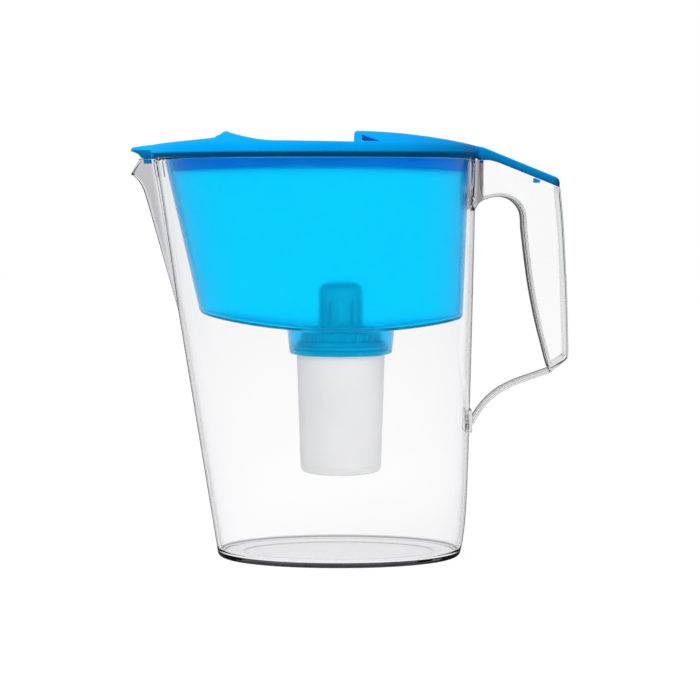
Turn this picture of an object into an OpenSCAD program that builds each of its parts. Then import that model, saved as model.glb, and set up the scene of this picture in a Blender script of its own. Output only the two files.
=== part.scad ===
// Water filter pitcher with a flip lid: a clear jug, a reservoir that hangs in it,
// a lid with a fill flap and a filter cartridge.
// Millimetres, +Z up, +X towards the handle, the spout towards -X.
// The origin is in the plane of the table, under the middle of the foot.

/* [Jug] */
// Height of the jug's rim above the table
rim_height = 242; // [236:1:250]
// Reach of the oval in front of the origin, at the table
base_front = 74.5; // [71:0.5:78]
// Forward lean of the front wall, in millimetres for each millimetre of height
front_lean = 0.156; // [0.142:0.002:0.17]
// Reach of the oval behind the origin, at the rim
rear_reach = 82.4; // [80:0.2:85]
// How far the rear wall draws in between the rim and the table
rear_taper = 5; // [3:0.2:7]
// Half of the jug's depth, at the rim
rim_half_depth = 52; // [50:0.5:55]
// How far each side wall draws in between the rim and the table
side_taper = 5.4; // [3.6:0.2:7]
// Extra draw-in of the rear wall close to the table
rear_tuck = 3.8; // [0:0.2:5]
// Extra draw-in of the side walls close to the table
side_tuck = 2; // [0:0.2:3]
// Height over which the extra draw-in fades
tuck_height = 14; // [10:1:20]
// Thickness of the jug's wall
jug_wall = 2.2; // [1.8:0.1:2.8]
// Thickness of the jug's floor
jug_floor = 2.8; // [2.4:0.1:4]
// Rounding of the foot's lower edge
foot_round = 2; // [1:0.25:3]
// Rounding between the floor and the wall, inside
floor_round = 3; // [2:0.5:6]
// Depth of the recess under the foot
foot_recess = 0.6; // [0.4:0.1:1.4]
// Width of the ring that the jug stands on
foot_ring = 16; // [8:1:22]

/* [Spout] */
// Height at which the spout starts to stand out from the front wall
spout_start = 149.4; // [142:0.2:156]
// How far the lip stands out from the oval
spout_reach = 15.1; // [13:0.1:18]
// How far the lip lies below the rim
lip_drop = 9; // [7:0.2:12]
// How far the slanted mouth runs back from the lip to the rim
mouth_run = 6.1; // [4:0.1:8]
// How far the spout's straight part stands out where the flare starts
spout_rise = 8.4; // [6:0.2:11]
// Height of the flared part below the lip
flare_height = 14.6; // [10:0.2:18]
// Half of the spout's width where it starts
spout_start_half = 5; // [4:0.5:7]
// Half of the spout's width at the rim
spout_rim_half = 11.5; // [10:0.5:13]

/* [Handle] */
// Reach of the grip behind the jug's rear wall
handle_reach = 55.9; // [53:0.1:59]
// Half of the handle's width at the rim
handle_half = 13.5; // [12.5:0.5:15]
// Half of the handle's width at the grip's lower end
toe_half = 10; // [9:0.5:11]
// Wall of the hollow grip
handle_wall = 1.8; // [1.5:0.1:2.4]
// Thickness of the web on the fingers' side
finger_web = 1.9; // [1.6:0.1:2.4]
// Thickness of the wall that joins the handle's hollow top to the jug
root_wall = 1.4; // [1:0.1:2]
// Radius of the arch over the fingers
arch_radius = 13.8; // [12.4:0.2:15]
// Depth of the arch's centre below the rim
arch_drop = 36.6; // [35.6:0.2:38]
// Depth of the grip's lower end below the rim
grip_drop = 128.4; // [124:0.2:134]
// Width of the grip's closed end, measured from front to back
grip_toe = 9.8; // [8.6:0.1:10.6]
// Depth of the tail's foot below the rim
tail_drop = 159; // [152:0.5:166]
// Thickness of the tail
tail_thickness = 2.6; // [2:0.1:3.4]
// Half of the tail's width
tail_half = 7; // [6:0.5:9]
// Height of the pad that joins the tail to the jug
pad_height = 13.6; // [11:0.2:17]
// Thickness of the pad
pad_thickness = 1.2; // [1:0.1:2.4]

/* [Reservoir] */
// Gap between the jug's wall and the reservoir, in front
front_gap = 4.5; // [3.5:0.1:6]
// Gap between the jug's wall and the reservoir, behind
rear_gap = 2; // [1.6:0.1:3]
// Gap between the jug's wall and the reservoir, at the sides
side_gap = 2.3; // [1.6:0.1:3]
// Extra draw-in of the reservoir's front over its height
front_draw = 6.7; // [4:0.1:9]
// Extra draw-in of the reservoir's rear over its height
rear_draw = 1.6; // [1:0.1:3]
// Extra draw-in of the reservoir's sides over their height
side_draw = 7; // [4:0.1:9]
// Depth of the reservoir's lower edge below the rim, at its front end
reservoir_depth = 93.6; // [88:0.2:99]
// How much lower the edge lies at the sides
edge_sag = 7.4; // [5:0.1:9]
// How much lower the edge lies at the rear end than at the front end
edge_tilt = 3; // [1:0.1:4]
// Thickness of the reservoir's wall
reservoir_wall = 1.8; // [1.4:0.1:2.2]
// Rounding of the reservoir's lower edge
reservoir_round = 2.6; // [1.5:0.1:4]
// Thickness of the flange that hangs on the jug's rim
flange_thickness = 2; // [1.5:0.1:2.6]
// How much wider the cartridge socket is at its top than at its lower end
socket_flare = 1.2; // [0.4:0.1:2.4]
// Height of the socket below the reservoir's floor
socket_height = 15.2; // [13:0.2:18]
// Wall of the socket
socket_wall = 2; // [1.5:0.1:2.2]

/* [Lid] */
// Wall of the lid
lid_wall = 2.2; // [1.8:0.1:2.6]
// How far the lid's edge stands out from the jug's rim
lid_overhang = 2.8; // [2:0.1:3.6]
// Height of the lid's widest line above the rim
edge_height = 3.6; // [3:0.1:4.4]
// Height of the flat land beside the flap above the rim
land_height = 9.2; // [8.6:0.1:10]
// Height of the front ridge and of the hood above the rim
crest_height = 15.3; // [14.3:0.1:16.3]
// Height of the beak's tip above the rim
tip_height = 6.6; // [5.6:0.1:7.4]
// Height of the front deck above the rim, in front of the ridge
deck_height = 11.4; // [10.6:0.1:12.2]
// How far the beak's tip stands out past the lip of the spout
tip_overhang = 0; // [0:0.1:1.5]
// Half of the beak's width where it leaves the oval
beak_half = 15; // [13:0.5:17]
// Distance of the front ridge in front of the origin
ridge_front = 66; // [64.6:0.2:68]
// Distance of the hood's front wall behind the origin
hood_front = 8.8; // [7:0.2:10]
// Depth of the lid's plug skirt below the rim, at the front and rear ends
skirt_depth = 8.25; // [5.5:0.25:8.5]
// How much shorter the plug skirt is at the sides
skirt_arch = 4.2; // [1:0.1:4.4]
// Thickness of the plug skirt
skirt_wall = 1.6; // [1.2:0.1:2]
// Depth of the pegs below the rim
peg_depth = 2.8; // [2:0.1:4]
// Depth of the skirt along the tongue over the handle
tongue_depth = 5.8; // [5:0.1:6.6]

/* [Flap] */
// Half of the width of the dish that holds the flap
dish_half = 38; // [35:0.5:40]
// Distance of the dish's front wall in front of the origin
dish_front = 60.5; // [58:0.5:62]
// Height of the dish's floor above the rim
dish_floor_height = 4.2; // [3.8:0.1:4.6]
// Half of the fill hole's length
hole_half_length = 27; // [22:0.5:29]
// Half of the fill hole's width
hole_half_width = 27; // [22:0.5:30]
// Thickness of the flap
flap_thickness = 2; // [1.6:0.1:2.4]
// Height of the rib that runs round under the flap
flap_rib = 1.2; // [0.8:0.1:1.4]
// Radius of the flap's hinge barrel
barrel_radius = 2; // [1.8:0.1:2.2]
// Radius of the flap's hinge pins
pin_radius = 1.2; // [1:0.1:1.4]
// Length of each hinge pin
pin_length = 2.4; // [1.8:0.1:2.8]
// Half of the finger tab's width
tab_half = 9; // [6:0.5:12]
// Height of the finger tab
tab_height = 2.2; // [1.4:0.1:3]

/* [Cartridge] */
// Distance of the cartridge's axis behind the origin
cartridge_x = 0.75; // [0:0.05:1.5]
// Outer radius of the cartridge just under the socket
body_radius = 26.7; // [25.5:0.1:27.2]
// Outer radius of the cartridge at its lower end
body_foot_radius = 24.6; // [23.5:0.1:25]
// Length of the tapered cup, below the socket
body_length = 67.8; // [62:0.2:72]
// Wall of the cartridge
body_wall = 1.6; // [1.2:0.1:2]
// How far the collar that seats in the socket stands out
collar_width = 2.1; // [1.6:0.1:2.6]
// Thickness of the collar
collar_thickness = 2; // [1.5:0.1:2.6]
// Thickness of the sealing ring under the collar
seal_thickness = 1.5; // [1:0.1:2]
// Height of the base ring at the cartridge's lower end
base_ring_height = 4.3; // [3.5:0.1:5.5]
// Height of the cap's smooth rim under the grip ring
cap_rim = 2.8; // [1.5:0.1:3.4]
// Radius of the ribbed grip ring
grip_radius = 24.4; // [23.4:0.1:25]
// Height of the ribbed grip ring
grip_height = 5.4; // [4.5:0.1:6.5]
// Number of ribs round the grip ring
grip_ribs = 48; // [32:4:60]
// Radius of the intake dome
dome_radius = 13; // [11:0.25:15]
// Height of the intake dome above the grip ring
dome_height = 28.6; // [24:0.2:32]
// Number of intake slots round the dome
intake_slots = 12; // [8:1:16]
// Width of an intake slot
slot_width = 1.6; // [1:0.1:2]
// Distance of the base plate's slots from its middle
slot_start = 8; // [6:0.5:10]
// Thickness of a filter mesh
mesh_thickness = 0.8; // [0.5:0.1:1.2]
// Share of the filter bed that the upper, carbon layer fills
carbon_share = 0.5; // [0.3:0.05:0.7]

/* [Fits] */
// Gap between parts that rest on each other
seat_gap = 0.3; // [0.2:0.05:0.5]
// Gap at the sides of parts that lift out
side_fit = 0.6; // [0.4:0.05:0.9]
// Radial clearance of the hinge pins in their holes
pin_clearance = 0.08; // [0.03:0.01:0.1]

/* [Hidden] */

// Colours
clear_colour = [0.90, 0.92, 0.94, 0.5];
aqua_colour = [0.0, 0.74, 0.96, 0.8];
blue_colour = [0.0, 0.62, 0.92];
white_colour = [0.92, 0.92, 0.93];
seal_colour = [0.80, 0.82, 0.84];
mesh_colour = [0.97, 0.97, 0.98];
carbon_colour = [0.10, 0.10, 0.11];
resin_colour = [0.78, 0.60, 0.28];

// Exponent of the oval: 2 is an ellipse, more is squarer
squareness = 2.1;
// How quickly the walls straighten on their way up
taper_bend = 1.2;
// Columns of points round the oval and across the spout
oval_steps = 44;
spout_steps = 12;
columns = oval_steps + spout_steps;
// Rows of points up the walls
low_rows = 6;
high_rows = 11;
round_steps = 3;
// Segments of round solids
round_fn = 96;
// Overlap that keeps one solid in one piece where shapes join
bite = 0.5;
// A length past anything that a cut has to clear
far = 200;

// ---- The oval of the jug, as functions of height ----
function lerp(a, b, t) = a + (b - a) * t;
function signed_pow(v, p) = sign(v) * pow(abs(v), p);
function drawn_in(z) = pow(max(0, rim_height - z) / rim_height, taper_bend);
function tucked_in(z) = exp(-max(0, z) / tuck_height);
function front_x(z) = -base_front - front_lean * z;
function rear_x(z) = rear_reach - rear_taper * drawn_in(z) - rear_tuck * tucked_in(z);
function side_y(z) = rim_half_depth - side_taper * drawn_in(z) - side_tuck * tucked_in(z);

// A point of an oval between two ends, at an angle round it
function oval_point(front, rear, side, angle) =
    [(front + rear) / 2 + (rear - front) / 2 * signed_pow(cos(angle), 2 / squareness),
     side * signed_pow(sin(angle), 2 / squareness)];
// Distance of an oval's edge in front of its middle, at a distance y from the centre line
function oval_front(front, rear, side, y) =
    (rear - front) / 2 * pow(max(0, 1 - pow(abs(y) / side, squareness)), 1 / squareness);

// ---- The spout, which is a fold in the front of the oval ----
lip_z = rim_height - lip_drop;
lip_x = front_x(lip_z) - spout_reach;
flare_start = lip_z - flare_height;
// Roundness of the fold: 1 is a sharp V
fold_power = 1.7;
flare_power = 3;

function spout_part(z) = max(0, z - spout_start) / (rim_height - spout_start);
function spout_half(z) = lerp(spout_start_half, spout_rim_half, sqrt(spout_part(z)));
function spout_line(z) = spout_rise * max(0, z - spout_start) / (flare_start - spout_start);
function flare(z) = (spout_reach - spout_line(lip_z))
    * pow(min(1, max(0, z - flare_start) / flare_height), flare_power);
function spout_out(z) = spout_line(z) + flare(z);
// The mouth is cut by a plane that slants up from the lip to the rim
function mouth_plane(x) = lip_z + (x - lip_x) * lip_drop / mouth_run;

// The fold narrows inside by most of the wall's thickness
function fold_half(z, inset) = spout_half(z) - 0.8 * min(inset, jug_wall);
// u runs from -1 to 1 across the fold
function fold_point(u, z, inset) = let (
    y = u * fold_half(z, inset),
    front = front_x(z) + inset,
    rear = rear_x(z) - inset)
    [(front + rear) / 2 - oval_front(front, rear, side_y(z) - inset, y)
        - spout_out(z) * (1 - pow(abs(u), fold_power)), y];
function mouth_search(u, inset, low, high, steps) =
    steps == 0 ? high : let (middle = (low + high) / 2)
    middle > mouth_plane(fold_point(u, middle, inset)[0])
        ? mouth_search(u, inset, low, middle, steps - 1)
        : mouth_search(u, inset, middle, high, steps - 1);
function mouth_z(u, inset) = mouth_search(u, inset, flare_start, rim_height, 14);

// ---- Rows of points round the jug ----
function crease_angle(z, inset) =
    asin(pow(fold_half(z, inset) / (side_y(z) - inset), squareness / 2));
function across(column) = 1 - 2 * (column - oval_steps) / spout_steps;
function wall_angle(column, z, inset) =
    lerp(-1, 1, column / oval_steps) * (180 - crease_angle(z, inset));
// Over the spout, a row's height is squeezed to end at the mouth
function row_z(column, z, inset) = column <= oval_steps || z <= spout_start ? z
    : spout_start + (z - spout_start) * (mouth_z(across(column), inset) - spout_start)
        / (rim_height - spout_start);
function jug_point(column, row, inset) = let (z = row_z(column, row, inset))
    concat(column <= oval_steps
        ? oval_point(front_x(z) + inset, rear_x(z) - inset, side_y(z) - inset,
                     wall_angle(column, z, inset))
        : fold_point(across(column), z, inset), z);
function jug_row(z, inset) = [for (column = [0 : columns - 1]) jug_point(column, z, inset)];

// Heights of the rows, closer together near the rim
function low_row(k, from) = lerp(from, spout_start, pow(k / low_rows, 1.5));
function high_row(k) = lerp(rim_height, spout_start, pow(1 - k / high_rows, 1.25));
function outer_rows(from) = [
    for (k = [0 : low_rows]) jug_row(low_row(k, from), 0),
    for (k = [1 : high_rows]) jug_row(high_row(k), 0)];
function foot_rows() = [for (k = [0 : round_steps - 1])
    jug_row(foot_round * (1 - cos(90 * k / round_steps)),
            foot_round * (1 - sin(90 * k / round_steps)))];
function inner_rows() = [
    for (k = [0 : high_rows - 1]) jug_row(high_row(high_rows - k), jug_wall),
    for (k = [0 : low_rows]) jug_row(low_row(low_rows - k, jug_floor + floor_round), jug_wall),
    for (k = [round_steps - 1 : -1 : 0])
        jug_row(jug_floor + floor_round * (1 - cos(90 * k / round_steps)),
                jug_wall + floor_round * (1 - sin(90 * k / round_steps)))];

// ---- Solids from rows of points ----
function band_faces(a, b, n) = [for (i = [0 : n - 1]) let (j = (i + 1) % n)
    each [[a * n + i, b * n + i, b * n + j], [a * n + i, b * n + j, a * n + j]]];

// A skin over rows of points, with a flat face over the first and the last row
module capped_skin(rows) {
    n = len(rows[0]);
    last = len(rows) - 1;
    polyhedron(
        points = [for (row = rows) each row],
        faces = concat(
            [[for (i = [0 : n - 1]) i]],
            [for (k = [0 : last - 1]) each band_faces(k, k + 1, n)],
            [[for (i = [n - 1 : -1 : 0]) last * n + i]]));
}

// A skin over rows of points whose last row joins the first, as on a tube
module looped_skin(rows) {
    n = len(rows[0]);
    polyhedron(
        points = [for (row = rows) each row],
        faces = [for (k = [0 : len(rows) - 1]) each band_faces(k, (k + 1) % len(rows), n)]);
}

// ---- Jug ----
module jug_block(from) {
    capped_skin(outer_rows(from));
}

module foot_recess_shape() {
    polygon([for (angle = [0 : 5 : 355]) oval_point(
        front_x(0) + foot_ring, rear_x(0) - foot_ring, side_y(0) - foot_ring, angle)]);
}

module jug() {
    color(clear_colour)
    difference() {
        capped_skin(concat(foot_rows(), outer_rows(foot_round), inner_rows()));
        translate([0, 0, -bite])
            linear_extrude(foot_recess + bite) foot_recess_shape();
    }
}

// ---- The lid's side view, on which the handle's top also depends ----
tip_x = lip_x - tip_overhang;
edge_z = rim_height + edge_height;
land_z = rim_height + land_height;
crest_z = rim_height + crest_height;
lid_foot_z = rim_height + seat_gap;
// The grip's outermost line and the tongue's end, which stops short of it
grip_x = rear_reach + handle_reach;
tongue_end = grip_x - 6.1;
// The tongue slopes down from the hood to the grip
tongue_top_z = rim_height + 6.6;
tongue_end_z = rim_height - 11.2;
tongue_start = rear_reach + 3.7;
function tongue_z(x) = lerp(tongue_top_z, tongue_end_z, (x - tongue_start) / (tongue_end - tongue_start));

// Upper outline from the beak's tip to the end of the tongue, as [x, z]
function lid_outline() = [
    [tip_x, rim_height + tip_height - 1.6],
    [tip_x + 0.6, rim_height + tip_height - 0.4],
    [tip_x + 3.6, rim_height + tip_height + 0.5],
    [lerp(tip_x, -ridge_front, 0.24), lerp(rim_height + tip_height, rim_height + deck_height, 0.34)],
    [lerp(tip_x, -ridge_front, 0.61), lerp(rim_height + tip_height, rim_height + deck_height, 0.7)],
    [-ridge_front - 9.8, rim_height + deck_height],
    [-ridge_front - 6.2, lerp(rim_height + deck_height, crest_z, 0.26)],
    // The ridge, with a rounded crest and a hollow fall behind it
    for (angle = [150 : -20 : 50])
        [-ridge_front + 3.2 * cos(angle), crest_z - 3.2 + 3.2 * sin(angle)],
    for (t = [0.25 : 0.15 : 1])
        [-ridge_front + 3 + 27 * t, lerp(land_z + 0.4, crest_z - 1, pow(1 - t, 1.8))],
    [hood_front, land_z - 0.3],
    // The hood, from its front wall back to the tongue
    for (angle = [180 : -30 : 90])
        [hood_front + 2 + 2 * cos(angle), crest_z - 2 + 2 * sin(angle)],
    for (t = [0.15 : 0.17 : 1])
        [lerp(hood_front + 2, tongue_start, t), lerp(crest_z, tongue_top_z, pow(t, 1.75))],
    for (angle = [70 : -23 : 1])
        [tongue_end - 4 + 4 * cos(angle), tongue_z(tongue_end) - 3.6 + 4 * sin(angle)],
    [tongue_end, tongue_z(tongue_end) - tongue_depth - 0.4]];

// Lower line of the tongue's skirt, from its end to the jug
function tongue_foot() = [
    [tongue_end, tongue_z(tongue_end) - tongue_depth],
    [rear_reach + 12.8, tongue_z(rear_reach + 12.8) - tongue_depth + 0.5],
    [rear_reach + 8.2, rim_height - 0.9],
    [rear_reach + 2, rim_height - 0.5]];

// ---- Handle ----
arch_x = rear_reach + arch_radius + seat_gap;
arch_z = rim_height - arch_drop;
grip_z = rim_height - grip_drop;
toe_x = grip_x - grip_toe;
// Inner line of the grip, from the arch down to its closed end
function palm_line(out) = [for (p = [[0.02, 0.07], [0.14, 0.267], [0.29, 0.465], [0.495, 0.665],
                                     [0.7, 0.825], [0.87, 0.95]])
    [lerp(arch_x + arch_radius, toe_x, p[0]) + out, lerp(arch_z, grip_z, p[1])]];
function reversed(points) = [for (k = [len(points) - 1 : -1 : 0]) points[k]];
// The arch over the fingers is round from the grip to its top
function arch_line(out) = [for (angle = [0 : 15 : 90])
    [arch_x + (arch_radius + out) * cos(angle), arch_z + (arch_radius + out) * sin(angle)]];
// Points beyond its top, as multiples of its radius
function past_arch(points) = [for (p = points) [arch_x, arch_z] + arch_radius * p];
// Outer line of the grip, from under the tongue down to its closed end
function back_line(inset) = concat(
    [[tongue_end - inset, tongue_z(tongue_end) - tongue_depth - seat_gap]],
    [for (p = [[4, 0], [2.5, 0.235], [1.2, 0.467], [0.65, 0.63], [0, 0.83]])
        [grip_x - p[0] - inset, lerp(arch_z, grip_z, p[1])]]);

module handle_side_shape() {
    foot = tongue_foot();
    polygon(concat(
        [[rear_reach - 8, rim_height - 1 - seat_gap]],
        [for (k = [3 : -1 : 1]) foot[k] - [0, seat_gap]],
        back_line(0),
        [[grip_x, grip_z + 8.5], [grip_x - 1.1, grip_z + 6.7], [toe_x - 0.6, grip_z]],
        reversed(palm_line(0)),
        arch_line(0),
        // Past its top the arch flattens and runs down to the jug
        past_arch([[-0.52, 0.92], [-0.74, 0.84], [-0.89, 0.74], [-1, 0.62], [-1.08, 0.48], [-1.45, 0.1]])));
}

module handle_hollow_shape() {
    polygon(concat(
        [[rear_reach + root_wall, rim_height + 9], [tongue_end - handle_wall, rim_height + 9]],
        back_line(handle_wall),
        [[grip_x - handle_wall, grip_z + 9.7]],
        reversed(palm_line(finger_web)),
        arch_line(finger_web),
        past_arch([[-0.49, 1.08], [-0.67, 1.01]]),
        // The wall beside the jug is thickest at the arch
        [for (p = [[2.6, 13], [1.2, 15.1], [0.3, 18.6], [0, 22.6]])
            [rear_reach + root_wall + p[0], arch_z + p[1]]]));
}

// The tail is a curved strip from the grip's end down to the jug
pad_z = rim_height - tail_drop;
pad_x = rear_x(pad_z);
tail_ends = [[toe_x, grip_z + tail_thickness / 2 - 0.6], [pad_x + 1, pad_z - 1.5]];
tail_pulls = [tail_ends[0] - [19, 7.6], tail_ends[1] + [12, 24.5]];
tail_steps = 12;
function tail_point(t) = pow(1 - t, 3) * tail_ends[0] + 3 * t * pow(1 - t, 2) * tail_pulls[0]
    + 3 * t * t * (1 - t) * tail_pulls[1] + pow(t, 3) * tail_ends[1];
function tail_normal(t) = let (d = tail_point(t + 0.01) - tail_point(t - 0.01)) [-d[1], d[0]] / norm(d);

module tail_shape() {
    polygon(concat(
        [for (k = [0 : tail_steps]) let (t = k / tail_steps)
            tail_point(t) + tail_normal(t) * tail_thickness / 2],
        [for (k = [tail_steps : -1 : 0]) let (t = k / tail_steps)
            tail_point(t) - tail_normal(t) * tail_thickness / 2]));
}

// A side view, given as [x, z], becomes a slab that spans the same width on both sides
module slab(half) {
    translate([0, half, 0])
        rotate([90, 0, 0]) linear_extrude(2 * half) children();
}

// The handle narrows on its way down
module handle_width(inset) {
    translate([rear_reach - 12, 0, 0])
        rotate([90, 0, 90]) linear_extrude(handle_reach + 30) polygon([
            [-handle_half + inset, rim_height + 10], [-toe_half + inset, grip_z - 3],
            [toe_half - inset, grip_z - 3], [handle_half - inset, rim_height + 10]]);
}

module handle() {
    color(clear_colour)
    difference() {
        union() {
            difference() {
                intersection() {
                    slab(far / 2) handle_side_shape();
                    handle_width(0);
                }
                intersection() {
                    slab(far / 2) handle_hollow_shape();
                    handle_width(handle_wall);
                }
            }
            slab(tail_half) tail_shape();
            translate([pad_x - 4, -tail_half - 1.5, pad_z - pad_height / 2])
                cube([4 + pad_thickness, 2 * tail_half + 3, pad_height]);
        }
        jug_block(foot_round);
    }
}

// ---- Reservoir ----
flange_z = rim_height + seat_gap;
flange_top = flange_z + flange_thickness;
edge_end_z = rim_height - reservoir_depth;
edge_side_z = edge_end_z - edge_sag;
socket_top_z = edge_side_z - 1.5;
socket_foot_z = socket_top_z - socket_height;
ring_steps = 60;

// The socket is as wide as the cartridge's collar needs
collar_radius = body_radius + collar_width;
socket_foot_radius = collar_radius + seat_gap + 0.1 + socket_wall;
socket_radius = socket_foot_radius + socket_flare;

function down(z) = max(0, rim_height - z) / reservoir_depth;
function lower_edge_z(angle) = edge_side_z + edge_sag * pow(cos(angle), 2)
    - edge_tilt * (1 + cos(angle)) / 2;
function reservoir_point(angle, z, inset) = concat(oval_point(
    front_x(z) + jug_wall + front_gap + front_draw * down(z) + inset,
    rear_x(z) - jug_wall - rear_gap - rear_draw * down(z) - inset,
    side_y(z) - jug_wall - side_gap - side_draw * down(z) - inset, angle), z);
function reservoir_row(t, inset) = [for (k = [0 : ring_steps - 1]) let (angle = 360 * k / ring_steps)
    reservoir_point(angle, lerp(flange_top, lower_edge_z(angle) + reservoir_round, t), inset)];
function rounded_row(turn, radius, inset, lift) =
    [for (k = [0 : ring_steps - 1]) let (angle = 360 * k / ring_steps)
    reservoir_point(angle, lower_edge_z(angle) + lift + radius * (1 - sin(turn)),
                    inset + radius * (1 - cos(turn)))];
function floor_row(t, inset, lift, radius) =
    [for (k = [0 : ring_steps - 1]) let (angle = 360 * k / ring_steps,
        start = reservoir_point(angle, lower_edge_z(angle) + lift, inset),
        end = [cartridge_x + radius * cos(angle), radius * sin(angle), socket_top_z + lift])
    lerp(start, end, t)];

module reservoir_shell() {
    neck = socket_radius - socket_wall / 2;
    inner_round = reservoir_round - 0.8;
    looped_skin(concat(
        [for (t = [1 : -0.5 : 0]) floor_row(t, reservoir_round, 0, neck)],
        [for (turn = [65, 35]) rounded_row(turn, reservoir_round, 0, 0)],
        [for (t = [1 : -0.25 : 0]) reservoir_row(t, 0)],
        [for (t = [0 : 0.25 : 1]) reservoir_row(t, reservoir_wall)],
        [for (turn = [50]) rounded_row(turn, inner_round, reservoir_wall, reservoir_wall)],
        [for (t = [0 : 0.5 : 1])
            floor_row(t, reservoir_wall + inner_round, reservoir_wall, neck)]));
}

module rim_shape(out) {
    polygon([for (k = [0 : ring_steps - 1]) oval_point(
        front_x(rim_height) - out, rear_x(rim_height) + out, side_y(rim_height) + out,
        360 * k / ring_steps)]);
}

module reservoir_top_shape(inset) {
    polygon([for (k = [0 : ring_steps - 1]) let (p = reservoir_point(
        360 * k / ring_steps, flange_top, inset)) [p[0], p[1]]]);
}

// The flange's edge lies halfway over the jug's rim
flange_inset = jug_wall / 2;
hole_radius = body_radius + side_fit;

module socket() {
    translate([cartridge_x, 0, 0])
    rotate_extrude($fn = round_fn)
        polygon([
            [hole_radius, socket_foot_z],
            [socket_foot_radius - 1.4, socket_foot_z],
            [socket_foot_radius - 0.3, socket_foot_z + 0.5],
            [socket_foot_radius, socket_foot_z + 1.5],
            [socket_radius, socket_top_z],
            [socket_radius, socket_top_z + reservoir_wall + seat_gap],
            [socket_radius - socket_wall, socket_top_z + reservoir_wall + seat_gap],
            [socket_foot_radius - socket_wall, socket_foot_z + socket_wall],
            [hole_radius, socket_foot_z + socket_wall]]);
}

module reservoir() {
    color(aqua_colour)
    union() {
        difference() {
            union() {
                reservoir_shell();
                translate([0, 0, flange_z])
                    linear_extrude(flange_thickness) rim_shape(-flange_inset);
            }
            translate([0, 0, flange_z - bite])
                linear_extrude(flange_thickness + 2 * bite) reservoir_top_shape(reservoir_wall);
        }
        socket();
    }
}

// ---- Lid ----
// Rings of the lid's side wall: how far each lies outside the jug's rim, at its height
rim_step = 0.35;
side_rings = [
    [rim_step - 0.8, lid_foot_z - 1],
    [lid_overhang, edge_z - 0.8],
    [lid_overhang, edge_z + 0.2],
    [-1, land_z + 0.15],
    [-5.4, crest_z - 2.3],
    [-9.5, crest_z + 1]];
// Rings of the hollow under it, with a ledge that rests over the flange
hollow_rings = [
    [-flange_inset + seat_gap, lid_foot_z - far],
    [-flange_inset + seat_gap, flange_top + seat_gap],
    [-flange_inset - 1, flange_top + seat_gap + 0.1],
    [-1.2, edge_z + 1.4],
    [-1 - lid_wall, land_z - 0.4],
    [-5.4 - lid_wall, crest_z - 2.3],
    [-9.5 - lid_wall, crest_z + 1]];

function lid_ring(out, z) = [for (k = [0 : ring_steps - 1]) concat(oval_point(
    front_x(rim_height) - out, rear_x(rim_height) + out, side_y(rim_height) + out,
    360 * k / ring_steps), z)];

module lid_bowl(rings) {
    capped_skin([for (ring = rings) lid_ring(ring[0], ring[1])]);
}

// Side views of the lid: all that lies under its top line, and all over its lower line
module under_top_shape() {
    polygon(concat(lid_outline(), [[tongue_end, rim_height - far], [tip_x, rim_height - far]]));
}

module over_foot_shape() {
    polygon(concat(
        [[tip_x - 1, rim_height + far], [grip_x, rim_height + far],
         [grip_x, tongue_z(grip_x) - tongue_depth]],
        tongue_foot(),
        [[rear_reach + 1.9, lid_foot_z], [tip_x + 6.9, lid_foot_z],
         [tip_x + 4.8, rim_height + 2.8], [tip_x - 1, rim_height + 5.2]]));
}

// The beak over the spout, seen from above, and the height of its sides' upper edge
beak_side_z = rim_height + 5.1;
beak_root_x = front_x(rim_height) + 16;
function beak_outline(inset) = let (half = beak_half - inset, tip = tip_x + inset, nose = 6) concat(
    [[beak_root_x, -half * 1.35], [beak_root_x - 14, -half]],
    [for (angle = [-60 : 20 : 60]) [tip + nose - nose * cos(angle), nose * 0.9 * sin(angle)]],
    [[beak_root_x - 14, half], [beak_root_x, half * 1.35]]);

// A roof over the beak's upper edge, and sides that draw in under it
module beak(inset) {
    side_z = beak_side_z - inset / 2;
    hull() {
        translate([0, 0, side_z + deck_height - 4.6])
            linear_extrude(0.1) scale([1, 0.2]) polygon(beak_outline(inset));
        translate([0, 0, side_z])
            linear_extrude(0.1) polygon(beak_outline(inset));
    }
    hull() {
        translate([0, 0, side_z - 0.1])
            linear_extrude(0.2) polygon(beak_outline(inset));
        translate([0, 0, lid_foot_z - bite])
            linear_extrude(bite) polygon(beak_outline(inset + 3.4));
    }
}

module tongue_shape(inset) {
    half = handle_half - inset;
    corner = 4;
    end = tongue_end - inset;
    polygon(concat(
        [[hood_front + 30, -half]],
        [for (angle = [-90 : 18 : 0])
            [end - corner + corner * cos(angle), -half + corner + corner * sin(angle)]],
        [for (angle = [0 : 18 : 90])
            [end - corner + corner * cos(angle), half - corner + corner * sin(angle)]],
        [[hood_front + 30, half]]));
}

module tongue(inset) {
    translate([0, 0, rim_height - far / 2])
        linear_extrude(far) tongue_shape(inset);
}

// The dish, seen from above: round in front, straight sides, square at the hinge
dish_middle = -18;
function dish_outline(inset) = concat(
    [for (angle = [90 : 5 : 270]) let (p = oval_point(
        dish_middle - (dish_front + dish_middle - inset), dish_middle + (dish_front + dish_middle - inset),
        dish_half - inset, angle)) p],
    [[hood_front - inset, -dish_half + inset], [hood_front - inset, dish_half - inset]]);
dish_floor_z = rim_height + dish_floor_height;

module dish(inset, from) {
    translate([0, 0, from])
        linear_extrude(far) polygon(dish_outline(inset));
}

module fill_hole() {
    hole_middle = lerp(-dish_front, hood_front, 0.5) - 1;
    translate([0, 0, rim_height - bite])
        linear_extrude(crest_height) polygon([for (angle = [0 : 5 : 355])
            oval_point(hole_middle - hole_half_length, hole_middle + hole_half_length,
                       hole_half_width, angle)]);
}

// The plug skirt goes down inside the reservoir and is arched along its lower edge
skirt_foot_z = rim_height - skirt_depth;
module skirt_plan(inset) {
    polygon([for (k = [0 : ring_steps - 1]) let (p = reservoir_point(
        360 * k / ring_steps, skirt_foot_z, reservoir_wall + side_fit + inset)) [p[0], p[1]]]);
}

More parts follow.
